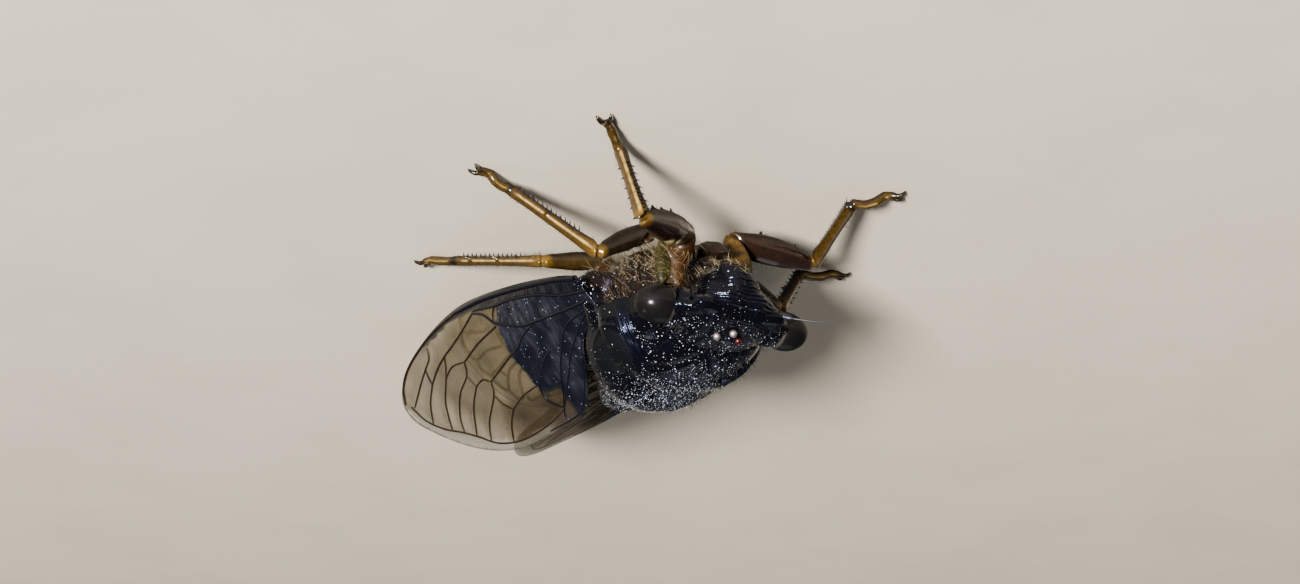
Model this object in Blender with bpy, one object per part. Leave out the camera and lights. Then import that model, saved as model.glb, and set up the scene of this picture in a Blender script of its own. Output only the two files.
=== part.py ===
"""Cicada, Fidicinoides opalina: an adult standing with its wings folded roof-wise over the back.

Life size. Lengths below are millimetres and become metres when a mesh is made. +Z is up, -Y is the
way the insect faces and +X is its left side. Heights are above the ground that the feet stand on.
"""

from math import cos, pi, radians, sin, sqrt

import bmesh
import bpy
from mathutils import Vector
from mathutils.geometry import delaunay_2d_cdt

MM = 0.001
GAP = 0.3                 # left between neighbouring pieces
ORIGIN = (-0.146, 17.158)   # middle of the feet's spread and of the whole length behind the face

# Head
HEAD_LENGTH = 3.65        # face to back of the vertex
EYE_SPREAD = 3.55         # eye centre from the midline
EYE_Y = 2.62
EYE_Z = 7.8
EYE_RADII = (1.26, 1.04, 0.98)
CLYPEUS_RIDGES = 8
CLYPEUS_HALF_WIDTH = 1.55
CLYPEUS_DEPTH = 1.8
OCELLUS_RADIUS = 0.27
ANTENNA_LENGTH = 2.4

# Thorax and abdomen
PRONOTUM_Y = (3.95, 7.75)
MESONOTUM_Y = (8.05, 14.9)
THORAX_Y = (4.25, 13.0)
NOTUM_FLOOR = 6.4         # lower face of the back plates
THORAX_TOP = 6.1          # upper face of the lower thorax
ABDOMEN_Y = (13.3, 21.2)
ABDOMEN_SEGMENTS = 7
TAIL_Y = (21.5, 23.5)

# Wings
WING_BASE = (4.55, 8.3, 6.0)
WING_DROP = 7.6           # degrees that the wing's long axis falls toward the tip
WING_TILT = 42.0          # degrees that its surface leans in over the back at the base
WING_TWIST = 0.3          # extra degrees of lean for each millimetre toward the tip
WING_THICKNESS = 0.5
COSTA_CURL = 0.10         # how strongly the leading edge bends down
VEIN_HEIGHT = 0.16
VEIN_HALF_WIDTH = 0.26
HIND_WING_DEPTH = 1.0     # hind wing's middle surface below the forewing's

# Colours
BLACK = (0.012, 0.013, 0.022)
BLUE_BLACK = (0.016, 0.020, 0.045)
BROWN = (0.090, 0.050, 0.022)
AMBER = (0.420, 0.190, 0.035)
CHESTNUT = (0.120, 0.035, 0.014)
WING_TAN = (0.330, 0.240, 0.130)
EYE_BROWN = (0.060, 0.050, 0.045)


def clear_scene():
    for item in list(bpy.data.objects):
        bpy.data.objects.remove(item, do_unlink=True)


def material(name, colour, roughness, metallic=0.0):
    """One plain surface, made once and shared by the pieces that ask for it."""
    found = bpy.data.materials.get(name)
    if found:
        return found
    made = bpy.data.materials.new(name)
    made.use_nodes = True
    shader = made.node_tree.nodes["Principled BSDF"]
    shader.inputs["Base Color"].default_value = (*colour, 1.0)
    shader.inputs["Roughness"].default_value = roughness
    shader.inputs["Metallic"].default_value = metallic
    return made


def make_object(name, vertices, faces, surface=None):
    """A mesh object from points in millimetres, with its faces turned outward."""
    mesh = bpy.data.meshes.new(name)
    mesh.from_pydata([((x - ORIGIN[0]) * MM, (y - ORIGIN[1]) * MM, z * MM) for x, y, z in vertices], [], faces)
    shell = bmesh.new()
    shell.from_mesh(mesh)
    bmesh.ops.triangulate(shell, faces=shell.faces[:])
    bmesh.ops.recalc_face_normals(shell, faces=shell.faces[:])
    shell.to_mesh(mesh)
    shell.free()
    piece = bpy.data.objects.new(name, mesh)
    bpy.context.scene.collection.objects.link(piece)
    if surface:
        mesh.materials.append(surface)
    return piece


def lathe_faces(ring_count, sides):
    """Quads between rings, and one cap at each end."""
    faces = []
    for r in range(ring_count - 1):
        for i in range(sides):
            j = (i + 1) % sides
            faces.append((r * sides + i, r * sides + j, (r + 1) * sides + j, (r + 1) * sides + i))
    faces.append(tuple(range(sides))[::-1])
    faces.append(tuple((ring_count - 1) * sides + i for i in range(sides)))
    return faces


def loft(name, rings, surface=None):
    points = [p for ring in rings for p in ring]
    return make_object(name, points, lathe_faces(len(rings), len(rings[0])), surface)


def tube(name, path, radii, surface=None, sides=8, start_normal=None, end_normal=None, flat=1.0):
    """A tapered tube along a path. Its end rings may lie in given planes; flat squeezes it in height."""
    path = [Vector(p) for p in path]
    rings = []
    for i, centre in enumerate(path):
        ahead = path[min(i + 1, len(path) - 1)]
        behind = path[max(i - 1, 0)]
        along = (ahead - behind).normalized()
        side = along.cross(Vector((0, 0, 1)))
        side = Vector((1, 0, 0)) if side.length < 0.05 else side.normalized()
        up = side.cross(along).normalized()
        plane = start_normal if i == 0 else end_normal if i == len(path) - 1 else None
        ring = []
        for k in range(sides):
            angle = 2 * pi * (k + 0.5) / sides
            spoke = side * cos(angle) * radii[i] + up * sin(angle) * radii[i] * flat
            if plane is not None:
                spoke -= along * (spoke.dot(plane) / along.dot(plane))
            ring.append(tuple(centre + spoke))
        rings.append(ring)
    return loft(name, rings, surface)


def spread(values, u):
    """Smooth reading of evenly spaced sizes at u between 0 and 1."""
    t = max(0.0, min(1.0, u)) * (len(values) - 1)
    i = min(int(t), len(values) - 2)
    f = t - i
    before, a, b, after = values[max(i - 1, 0)], values[i], values[i + 1], values[min(i + 2, len(values) - 1)]
    return a + 0.5 * f * (b - before + f * (2 * before - 5 * a + 4 * b - after + f * (3 * (a - b) + after - before)))


def rounded(half_width, rise, power, count):
    """Points of one rounded arch from the right side over to the left."""
    arch = []
    for i in range(count):
        angle = pi * i / (count - 1)
        c, s = cos(angle), sin(angle)
        x = half_width * (abs(c) ** (2 / power)) * (1 if c >= 0 else -1)
        arch.append((x, rise * s ** (2 / power)))
    return arch


def body_ring(y, half_width, top, middle, bottom, power=2.0, count=13, low_power=2.0):
    """A whole cross-section: one arch above the widest level and one below."""
    upper = [(x, y, middle + z) for x, z in rounded(half_width, top - middle, power, count)]
    lower = [(-x, y, middle - z) for x, z in rounded(half_width, middle - bottom, low_power, count)]
    return upper + lower[1:-1]


def saddle_ring(y, half_width, top, floor, power=2.0, count=17, base_points=5):
    """An arch closed by a flat base, for the plates of the back."""
    upper = [(x, y, floor + z) for x, z in rounded(half_width, top - floor, power, count)]
    step = 2 * half_width / (base_points + 1)
    return upper + [(-half_width + step * (k + 1), y, floor) for k in range(base_points)]


def keep_largest(piece):
    """Keep a mesh's largest connected surface."""
    shell = bmesh.new()
    shell.from_mesh(piece.data)
    left = set(shell.verts)
    groups = []
    while left:
        stack = [left.pop()]
        group = set(stack)
        while stack:
            for edge in stack.pop().link_edges:
                for v in edge.verts:
                    if v in left:
                        left.discard(v)
                        group.add(v)
                        stack.append(v)
        groups.append(group)
    groups.sort(key=len)
    for group in groups[:-1]:
        bmesh.ops.delete(shell, geom=list(group), context="VERTS")
    bmesh.ops.remove_doubles(shell, verts=shell.verts[:], dist=0.002 * MM)
    bmesh.ops.triangulate(shell, faces=shell.faces[:])
    shell.to_mesh(piece.data)
    shell.free()


def boolean(piece, other, operation, solver="EXACT"):
    """Apply one Boolean to a piece and remove the object it used."""
    step = piece.modifiers.new(operation, "BOOLEAN")
    step.operation = operation
    step.solver = solver
    step.object = other
    apply_modifiers(piece)
    bpy.data.objects.remove(other, do_unlink=True)
    keep_largest(piece)


def apply_modifiers(piece):
    graph = bpy.context.evaluated_depsgraph_get()
    result = bpy.data.meshes.new_from_object(piece.evaluated_get(graph))
    surfaces = list(piece.data.materials)
    piece.modifiers.clear()
    piece.data = result
    piece.data.materials.clear()
    for surface in surfaces:
        piece.data.materials.append(surface)


def join(piece, extras):
    """Union of a piece with a collection of closed meshes rooted in it."""
    holder = bpy.data.collections.new(piece.name + "_extras")
    bpy.context.scene.collection.children.link(holder)
    for extra in extras:
        bpy.context.scene.collection.objects.unlink(extra)
        holder.objects.link(extra)
    step = piece.modifiers.new("union", "BOOLEAN")
    step.operation = "UNION"
    step.solver = "EXACT"
    step.operand_type = "COLLECTION"
    step.collection = holder
    apply_modifiers(piece)
    for extra in extras:
        bpy.data.objects.remove(extra, do_unlink=True)
    bpy.data.collections.remove(holder)
    keep_largest(piece)


def swollen(piece, distance=GAP):
    """A copy of a piece, grown outward all round, to cut its neighbours clear of it."""
    copy = bpy.data.objects.new(piece.name + "_room", piece.data.copy())
    bpy.context.scene.collection.objects.link(copy)
    copy.hide_render = True
    copy.display_type = "WIRE"
    normals = [v.normal.copy() for v in copy.data.vertices]
    for v, n in zip(copy.data.vertices, normals):
        v.co += n * distance * MM
    return copy


def cut_clear(piece, *neighbours, distance=GAP):
    """Cut a piece back so that the usual gap is left to each neighbour."""
    for neighbour in neighbours:
        boolean(piece, swollen(neighbour, distance), "DIFFERENCE")


def head_ring(y):
    """Cross-section of the head: broad between the eyes, narrowing to the mouth."""
    u = y / HEAD_LENGTH
    half = spread((1.0, 1.95, 2.45, 2.66, 2.7, 2.7), u)
    top = spread((7.95, 8.5, 8.82, 8.98, 9.05, 9.08), u)
    low = spread((7.2, 6.5, 5.75, 5.2, 4.95, 4.9), u)
    return body_ring(y, half, top, 7.55, low, power=2.5, low_power=1.35)


def clypeus():
    """The swollen, cross-ridged face plate."""
    top, bottom = Vector((0, 1.0, 8.35)), Vector((0, 2.6, 4.75))
    rings = []
    steps = CLYPEUS_RIDGES * 2 + 2
    for i in range(steps + 1):
        u = 0.03 + 0.94 * i / steps
        centre = top.lerp(bottom, u)
        swell = sin(pi * u) ** 0.55
        ridge = 0.055 * (1 if i % 2 else -1) if 1 < i < steps - 1 else 0.0
        half = CLYPEUS_HALF_WIDTH * swell * (1.0 - 0.28 * u) + ridge * 0.5
        deep = CLYPEUS_DEPTH * swell * (1.0 - 0.2 * u) + ridge
        rings.append([(half * cos(2 * pi * k / 14), centre.y - deep * sin(2 * pi * k / 14) * (1 if k < 7 else 0.5),
                       centre.z) for k in range(14)])
    return loft("clypeus", rings)


def dome(name, centre, radii, around=10, levels=4):
    rings = []
    for i in range(levels * 2 + 1):
        lean = pi * (0.06 + 0.88 * i / (levels * 2))
        rings.append([(centre[0] + radii[0] * sin(lean) * cos(2 * pi * k / around),
                       centre[1] + radii[1] * sin(lean) * sin(2 * pi * k / around),
                       centre[2] + radii[2] * cos(lean)) for k in range(around)])
    return loft(name, rings)


def build_head():
    black = material("head_black", BLACK, 0.32)
    rings = [head_ring(y) for y in (0.0, 0.3, 0.75, 1.3, 1.9, 2.5, 3.1, HEAD_LENGTH)]
    head = loft("head", rings, black)
    extras = [clypeus()]
    for x, y in ((0.0, 1.62), (0.42, 2.2), (-0.42, 2.2)):
        extras.append(dome("ocellus", (x, y, 8.93), (OCELLUS_RADIUS,) * 3, 8, 3))
    for side in (1, -1):
        extras.append(dome("antenna_plate", (side * 1.85, 0.85, 8.05), (0.75, 0.5, 0.42), 8, 3))
    join(head, extras)
    return head


def build_eyes(head):
    surface = material("eye_brown", EYE_BROWN, 0.08)
    for side, word in ((1, "left"), (-1, "right")):
        rings = []
        for i in range(13):
            lean = pi * (0.26 + 0.70 * i / 12)
            x = -EYE_RADII[0] * cos(lean)
            rings.append([(side * (EYE_SPREAD + x),
                           EYE_Y + EYE_RADII[1] * sin(lean) * cos(2 * pi * k / 18),
                           EYE_Z + EYE_RADII[2] * sin(lean) * sin(2 * pi * k / 18)) for k in range(18)])
        eye = loft("eye_" + word, rings, surface)
        cut_clear(eye, head)


def build_antennae(head):
    surface = material("antenna_black", BLACK, 0.45)
    for side, word in ((1, "left"), (-1, "right")):
        root = Vector((side * 2.2, 0.75, 7.9))
        path, radii = [], []
        for i in range(8):
            u = i / 7
            reach = Vector((side * (0.62 * u + 0.22 * u * u), -0.62 * u, 0.30 * u - 0.10 * u * u))
            path.append(root + reach * ANTENNA_LENGTH)
            radii.append(spread((0.34, 0.34, 0.26, 0.2, 0.15, 0.10), u))
        antenna = tube("antenna_" + word, path, radii, surface, sides=7)
        cut_clear(antenna, head)


def build_rostrum():
    surface = material("rostrum_brown", CHESTNUT, 0.4)
    path = [(0, 2.7, 4.42), (0, 3.2, 3.85), (0, 4.2, 3.4), (0, 5.6, 3.1), (0, 7.2, 2.95), (0, 8.6, 2.85)]
    return tube("rostrum", path, (0.46, 0.43, 0.4, 0.36, 0.32, 0.22), surface, sides=8,
                start_normal=Vector((0, 0, 1)))


# Thorax and abdomen

def build_pronotum():
    surface = material("pronotum_black", BLUE_BLACK, 0.3)
    rings = []
    for i in range(9):
        u = i / 8
        y = PRONOTUM_Y[0] + (PRONOTUM_Y[1] - PRONOTUM_Y[0]) * u
        half = spread((3.55, 3.75, 3.98, 4.4, 4.72, 4.62), u)
        top = spread((9.1, 9.5, 9.75, 9.9, 10.05, 10.1), u)
        power = spread((2.5, 2.35, 2.2, 2.1, 2.05, 2.05), u)
        rings.append(saddle_ring(y, half, top, NOTUM_FLOOR, power))
    return loft("pronotum", rings, surface)


def build_mesonotum():
    surface = material("mesonotum_black", BLUE_BLACK, 0.28)
    rings = []
    for i in range(12):
        u = i / 11
        y = MESONOTUM_Y[0] + (MESONOTUM_Y[1] - MESONOTUM_Y[0]) * u
        half = spread((4.02, 4.12, 4.0, 3.55, 2.6, 1.75, 1.35, 0.75), u)
        top = spread((10.1, 10.35, 10.35, 10.15, 9.7, 9.15, 8.95, 8.7), u)
        floor = spread((6.4, 6.4, 6.4, 6.4, 6.6, 7.1, 7.6, 7.9), u)
        rings.append(saddle_ring(y, half, top, floor, 2.05))
    mesonotum = loft("mesonotum", rings, surface)
    arms = []
    for turn in (1, -1):
        arms.append(tube("cross_arm", ((turn * 0.95, 12.9, 9.1), (turn * 0.3, 13.75, 9.0), (-turn * 0.3, 13.95, 8.95),
                                       (-turn * 0.6, 14.7, 8.5)), (0.24, 0.24, 0.24, 0.24), sides=6))
    join(mesonotum, arms)
    return mesonotum


def build_thorax(rostrum):
    """The lower thorax, grooved along the middle where the beak lies."""
    surface = material("thorax_brown", BROWN, 0.55)
    rings = []
    for i in range(10):
        u = i / 9
        y = THORAX_Y[0] + (THORAX_Y[1] - THORAX_Y[0]) * u
        half = spread((2.9, 3.35, 3.75, 3.92, 3.92, 3.7, 3.35, 3.1), u)
        low = spread((4.0, 3.0, 2.55, 2.45, 2.5, 2.7, 2.95, 3.15), u)
        arch = [(-x, y, THORAX_TOP - z) for x, z in rounded(half, THORAX_TOP - low, 2.75, 15)]
        lid = [(half - 2 * half * (k + 1) / 6, y, THORAX_TOP) for k in range(5)]
        rings.append(arch + lid)
    thorax = loft("thorax", rings, surface)
    cut_clear(thorax, rostrum, distance=0.4)
    return thorax


def abdomen_ring(y, grow=0.0):
    """Cross-section of the abdomen, roof-shaped above to lie under the wings."""
    u = (y - ABDOMEN_Y[0]) / (TAIL_Y[1] - ABDOMEN_Y[0])
    half = spread((2.7, 2.7, 2.6, 2.35, 2.0, 1.5, 0.9), u) + grow
    top = spread((6.05, 6.1, 5.95, 5.7, 5.4, 5.1, 4.65), u) + grow
    low = spread((3.25, 3.15, 3.1, 3.05, 3.05, 3.15, 3.6), u) - grow
    return body_ring(y, half, top, 4.35, low, power=1.65, count=11, low_power=2.1)


def build_abdomen():
    surface = material("abdomen_black", BLACK, 0.4)
    length = (ABDOMEN_Y[1] - ABDOMEN_Y[0]) / ABDOMEN_SEGMENTS
    rings = []
    for i in range(ABDOMEN_SEGMENTS):
        start = ABDOMEN_Y[0] + i * length
        rings.append(abdomen_ring(start + 0.02, -0.04))
        rings.append(abdomen_ring(start + 0.8 * length, 0.05))
        rings.append(abdomen_ring(start + length - 0.06, 0.04))
    loft("abdomen", rings, surface)
    rings = [abdomen_ring(y) for y in (TAIL_Y[0], 22.0, 22.6, 23.1, TAIL_Y[1])]
    loft("tail", rings, surface)


def build_opercula():
    """The pair of plates below the base of the abdomen."""
    surface = material("operculum_brown", BROWN, 0.5)
    for side, word in ((1, "left"), (-1, "right")):
        rings = []
        for i in range(7):
            u = i / 6
            y = 13.3 + 2.9 * u
            inner = 0.15 + 0.5 * u * u
            outer = 0.35 + 2.5 * sqrt(max(0.0, 1.0 - (0.98 * u) ** 2.4))
            drop = 0.62
            ring = []
            for k in range(5):
                x = inner + (outer - inner) * k / 4
                ring.append((side * x, y, 2.72 - drop * 0.35 + 0.08 * x * x))
            ring += [(x, y, z - 0.5) for x, _, z in reversed(ring)]
            rings.append(ring)
        loft("operculum_" + word, rings, surface)


# Wings

def wing_frame(s):
    """Directions along, across and out of the left wing at a distance s from its base."""
    drop = radians(WING_DROP)
    tilt = radians(WING_TILT + WING_TWIST * s)
    along = Vector((0, cos(drop), -sin(drop)))
    across = Vector((-cos(tilt), sin(tilt) * sin(drop), sin(tilt) * cos(drop)))
    return along, across, along.cross(across)


def wing_point(s, t, lift):
    """A point of the left wing: s toward the tip, t from the leading edge up to the midline."""
    along, across, out = wing_frame(s)
    sag = COSTA_CURL * t * t if t < 0 else 0.0
    lean = (out - across * (2 * COSTA_CURL * min(t, 0.0))).normalized()
    return Vector(WING_BASE) + along * s + across * t - out * sag + lean * lift


def smooth_line(knots, step):
    """Points about a step apart along a smooth curve through knots."""
    points = []
    for i in range(len(knots) - 1):
        quad = [Vector(knots[max(0, min(len(knots) - 1, i + d))]) for d in (-1, 0, 1, 2)]
        pieces = max(1, round((quad[2] - quad[1]).length / step))
        for k in range(pieces):
            points.append(Vector((spread_four([q.x for q in quad], k / pieces),
                                  spread_four([q.y for q in quad], k / pieces))))
    points.append(Vector(knots[-1]))
    return points


def spread_four(p, f):
    return p[1] + 0.5 * f * (p[2] - p[0] + f * (2 * p[0] - 5 * p[1] + 4 * p[2] - p[3]
                                                + f * (3 * (p[1] - p[2]) + p[3] - p[0])))


# Forewing outline, round from the base along the leading edge to the tip and back along the inner edge
FOREWING_EDGE = ((-0.2, -1.65), (2.2, -2.1), (6.3, -2.6), (11.5, -3.0), (15.6, -3.05), (19.8, -2.55), (23.7, -1.6),
                 (26.1, -0.5), (27.4, 0.6), (27.1, 1.8), (25.5, 2.9), (23.6, 3.9), (21.6, 4.75), (19.3, 5.4),
                 (16.4, 5.8), (12.3, 5.7), (8.4, 5.4), (6.4, 4.5), (4.6, 3.0), (3.0, 1.6), (1.4, 0.9), (-0.5, 0.6))

# Junctions of the forewing's veins, named by the cells they close
FORE = {
    "base": (0.3, -0.4), "radius": (3.0, -0.45), "radius_mid": (7.1, -0.5), "radius_end": (10.9, -1.6),
    "costa": (5.3, -1.95), "costa_end": (10.1, -2.35), "node": (13.4, -2.5), "sector": (15.9, -1.8),
    "fork": (18.7, -1.0), "fork_cross": (19.9, 0.3), "upper_start": (20.5, -2.0), "upper_bend": (22.0, -0.8),
    "upper_tip": (26.2, 0.8), "second": (22.1, 0.1), "second_tip": (25.0, 2.3), "third": (21.2, 1.1),
    "third_tip": (23.3, 3.15), "median_start": (10.9, -1.3), "median": (13.7, -0.9), "median_fork": (16.5, -0.2),
    "fourth": (17.1, 0.5), "fourth_mid": (19.3, 1.5), "fourth_tip": (21.8, 3.6), "fifth": (17.0, 1.4),
    "fifth_mid": (18.7, 2.5), "fifth_tip": (20.6, 4.1), "cubital": (11.2, 0.6), "cubital_end": (15.0, 1.5),
    "sixth": (15.8, 2.3), "sixth_tip": (19.2, 4.6), "seventh": (14.5, 3.6), "seventh_tip": (16.8, 5.05),
    "anal": (10.5, 2.8), "anal_mid": (6.4, 1.1), "anal_root": (1.2, 0.0), "claval": (9.4, 4.6),
    "claval_mid": (5.6, 2.3), "ambient_end": (11.0, 5.0),
}

# Each vein as the junctions it runs through
FOREWING_VEINS = (
    ("base", "radius", "radius_mid", "radius_end", "node"),
    ("base", "costa", "costa_end", "node"),
    ("node", "sector", "fork", "second", "second_tip"),
    ("fork", "fork_cross", "third", "third_tip"),
    ("upper_start", "upper_bend", "upper_tip"),
    ("median_start", "median", "median_fork", "fourth", "fourth_mid", "fourth_tip"),
    ("median_fork", "fork_cross"),
    ("fourth", "fifth", "fifth_mid", "fifth_tip"),
    ("fifth", "cubital_end"),
    ("cubital", "cubital_end", "sixth", "sixth_tip"),
    ("sixth", "seventh", "seventh_tip"),
    ("seventh", "anal", "claval"),
    ("anal_root", "anal_mid", "anal"),
    ("anal_root", "claval_mid", "claval"),
    ("upper_tip", "second_tip", "third_tip", "fourth_tip", "fifth_tip", "sixth_tip", "seventh_tip",
     "ambient_end"),
)

HINDWING_EDGE = ((2.6, -0.7), (6.0, -1.6), (11.5, -2.2), (15.5, -2.3), (17.4, -1.6), (18.1, -0.2), (17.8, 1.2),
                 (16.9, 2.6), (15.4, 3.7), (12.5, 4.4), (8.9, 4.6), (6.7, 3.6), (5.2, 2.0), (4.0, 0.5), (2.6, 0.1))
HIND = {
    "base": (3.6, -0.3), "radius": (8.0, -0.9), "fork": (12.8, -1.05), "upper_tip": (16.9, -1.45),
    "sector": (15.2, -0.05), "sector_tip": (17.4, 0.1), "mid": (12.8, 0.75), "mid_tip": (16.7, 1.4),
    "low": (13.6, 1.9), "low_tip": (15.4, 3.0), "anal": (7.6, 1.9), "anal_tip": (11.7, 3.85),
}
HINDWING_VEINS = (
    ("base", "radius", "fork", "upper_tip"), ("fork", "sector", "sector_tip"), ("radius", "mid", "mid_tip"),
    ("mid", "low", "low_tip"), ("base", "anal", "anal_tip"),
    ("upper_tip", "sector_tip", "mid_tip", "low_tip", "anal_tip"),
)


def inside(point, loop):
    """Whether a flat point lies within a closed outline."""
    hit = False
    for a, b in zip(loop, loop[1:] + loop[:1]):
        if (a.y > point.y) != (b.y > point.y):
            if point.x < (b.x - a.x) * (point.y - a.y) / (b.y - a.y) + a.x:
                hit = not hit
    return hit


def distance_to(point, line):
    nearest = 1e9
    for a, b in zip(line, line[1:]):
        along = b - a
        f = max(0.0, min(1.0, (point - a).dot(along) / max(along.length_squared, 1e-9)))
        nearest = min(nearest, (point - a - along * f).length)
    return nearest


def wing_mesh(name, edge, junctions, veins, step, depth, side, surface):
    """A curved vane whose veins stand up as ridges, triangulated alike on both faces."""
    loop = smooth_line(list(edge) + [edge[0]], step)[:-1]
    lines = [smooth_line([junctions[j] for j in vein], step) for vein in veins]
    flat, links = list(loop), [(i, (i + 1) % len(loop)) for i in range(len(loop))]
    crest = set()

    def index_of(point):
        for i, known in enumerate(flat):
            if (known - point).length < 0.12:
                return i
        flat.append(point)
        return len(flat) - 1

    for line in lines:
        track = [index_of(p) for p in line]
        crest.update(i for i in track if i >= len(loop))
        links += [(a, b) for a, b in zip(track, track[1:]) if a != b]
    for line in lines:
        for i, p in enumerate(line):
            along = line[min(i + 1, len(line) - 1)] - line[max(i - 1, 0)]
            across = Vector((-along.y, along.x)).normalized() * VEIN_HALF_WIDTH
            for q in (p + across, p - across):
                clear_of_veins = min(distance_to(q, other) for other in lines) > 0.82 * VEIN_HALF_WIDTH
                clear_of_rest = min((q - known).length for known in flat) > 0.72 * VEIN_HALF_WIDTH
                if clear_of_veins and clear_of_rest and inside(q, loop) and distance_to(q, loop + loop[:1]) > 0.15:
                    flat.append(q)
    flat, _, triangles, origins, _, _ = delaunay_2d_cdt(flat, links, [], 0, 1e-4)
    raised = [any(o in crest for o in found) for found in origins]
    triangles = [t for t in triangles if inside(sum((flat[i] for i in t), Vector((0, 0))) / 3, loop)]
    half = WING_THICKNESS / 2
    points, count = [], len(flat)
    for sign in (1, -1):
        for p, up in zip(flat, raised):
            ridge = VEIN_HEIGHT * (1.0 if sign > 0 else 0.5) if up else 0.0
            place = wing_point(p.x, p.y, sign * (half + ridge) - depth)
            points.append((side * place.x, place.y, place.z))
    faces = [tuple(t) for t in triangles] + [tuple(i + count for i in reversed(t)) for t in triangles]
    uses = {}
    for t in triangles:
        for a, b in zip(t, t[1:] + t[:1]):
            uses[(a, b)] = uses.get((a, b), 0) + 1
    for a, b in uses:
        if (b, a) not in uses:
            faces.append((b, a, a + count, b + count))
    return make_object(name, points, faces, surface)


def build_wings(body):
    surface = material("wing_tan", WING_TAN, 0.35)
    for side, word in ((1, "left"), (-1, "right")):
        forewing = wing_mesh("forewing_" + word, FOREWING_EDGE, FORE, FOREWING_VEINS, 1.7, 0.0, side, surface)
        cut_clear(forewing, *body, distance=0.42)
        hindwing = wing_mesh("hindwing_" + word, HINDWING_EDGE, HIND, HINDWING_VEINS, 1.9, HIND_WING_DEPTH, side,
                             surface)
        cut_clear(hindwing, body[2], distance=0.42)


# Legs: joint places from hip to foot, on the side each leg stands on

FOOT_LEVEL = 0.22
FOOT_FLAT = 0.45          # length of the level stretch that each foot stands on
LEGS = {
    "left_fore": ((1.9, 4.5, 4.85), (2.12, 2.55, 3.75), (6.27, -0.77, 5.1), (6.65, 1.2, 0.65),
                  (8.0, -0.15, FOOT_LEVEL)),
    "right_fore": ((-2.0, 4.4, 4.3), (-1.85, 4.75, 2.4), (-7.1, 5.45, 2.15), (-6.55, 0.8, 0.8),
                   (-8.5, -0.15, FOOT_LEVEL)),
    "left_mid": ((2.5, 7.4, 3.7), (2.6, 6.3, 2.2), (5.5, 5.6, 4.3), (9.5, 7.9, 0.8), (11.15, 7.8, FOOT_LEVEL)),
    "right_mid": ((-2.3, 8.3, 3.6), (-2.7, 8.0, 2.2), (-6.1, 7.3, 4.35), (-9.0, 10.0, 0.65),
                  (-11.45, 9.9, FOOT_LEVEL)),
    "left_hind": ((2.5, 10.9, 3.6), (2.5, 11.3, 1.95), (6.3, 10.5, 3.1), (8.35, 17.65, 0.8),
                  (9.25, 19.85, FOOT_LEVEL)),
    "right_hind": ((-2.5, 10.9, 3.6), (-2.5, 11.3, 1.95), (-6.3, 10.4, 3.0), (-8.4, 17.6, 0.8),
                   (-9.3, 20.0, FOOT_LEVEL)),
}
FOOT_ARCH = {"left_fore": 0.05, "right_fore": 0.25, "left_mid": 0.2, "right_mid": 0.2, "left_hind": 0.05,
             "right_hind": 0.05}
LEG_RADII = {
    "fore": {"coxa": (0.66, 0.7, 0.55), "femur": (0.5, 0.74, 0.78, 0.62, 0.44),
             "tibia": (0.42, 0.35, 0.32, 0.33, 0.37), "tarsus": (0.3, 0.26, 0.28, 0.26, 0.28)},
    "mid": {"coxa": (0.85, 0.8, 0.58), "femur": (0.42, 0.54, 0.55, 0.46, 0.42),
            "tibia": (0.42, 0.35, 0.33, 0.31, 0.34), "tarsus": (0.3, 0.26, 0.28, 0.26, 0.28)},
    "hind": {"coxa": (0.74, 0.72, 0.55), "femur": (0.42, 0.5, 0.5, 0.42, 0.38),
             "tibia": (0.36, 0.29, 0.27, 0.27, 0.3), "tarsus": (0.28, 0.26, 0.28, 0.26, 0.28)},
}
LEG_COLOURS = {"coxa": (AMBER, 0.4), "femur": (CHESTNUT, 0.3), "tibia": (AMBER, 0.3), "tarsus": (AMBER, 0.35)}
SEGMENTS = ("coxa", "femur", "tibia", "tarsus")


def spine(root, direction, length, radius, sides=5):
    """A short pointed cone with its foot sunk into what carries it."""
    direction = Vector(direction).normalized()
    root = Vector(root) - direction * 0.15
    return tube("spine", (root, root + direction * (length + 0.15)), (radius, 0.06), sides=sides)


def claws(ankle, foot):
    """Two hooks that spread from the end of the foot and come down to the ground."""
    ahead = (Vector((foot.x, foot.y, 0)) - Vector((ankle.x, ankle.y, 0))).normalized()
    across = Vector((-ahead.y, ahead.x, 0))
    hooks = []
    for turn in (1, -1):
        path = [foot - ahead * 0.12 + across * 0.1 * turn,
                foot + ahead * 0.24 + across * 0.22 * turn + Vector((0, 0, 0.1)),
                foot + ahead * 0.48 + across * 0.34 * turn + Vector((0, 0, 0.0)),
                foot + ahead * 0.6 + across * 0.4 * turn + Vector((0, 0, -0.16))]
        hooks.append(tube("claw", path, (0.17, 0.15, 0.11, 0.05), sides=6))
    return hooks


def leg_spines(kind, part, a, b):
    """Spurs beneath the fore thigh and along the longer shins."""
    along = (b - a).normalized()
    out = along.cross(Vector((0, 0, 1))).normalized()
    down = out.cross(along).normalized() * -1
    spikes = []
    if kind == "fore" and part == "femur":
        for u, length in ((0.3, 0.6), (0.55, 0.45), (0.78, 0.35)):
            spikes.append(spine(a.lerp(b, u) + down * 0.55, down + along * 0.35, length, 0.22))
    if kind != "fore" and part == "tibia":
        rows = ((0.45, 1), (0.62, -1), (0.78, 1)) if kind == "hind" else ((0.55, 1), (0.78, -1))
        for u, turn in rows:
            spikes.append(spine(a.lerp(b, u) + out * turn * 0.15, out * turn + along * 0.7 + down * 0.2, 0.6, 0.15))
    return spikes


def bend_plane(before, joint, after):
    """The plane that halves the bend at a joint."""
    return ((joint - before).normalized() + (after - joint).normalized()).normalized()


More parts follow.
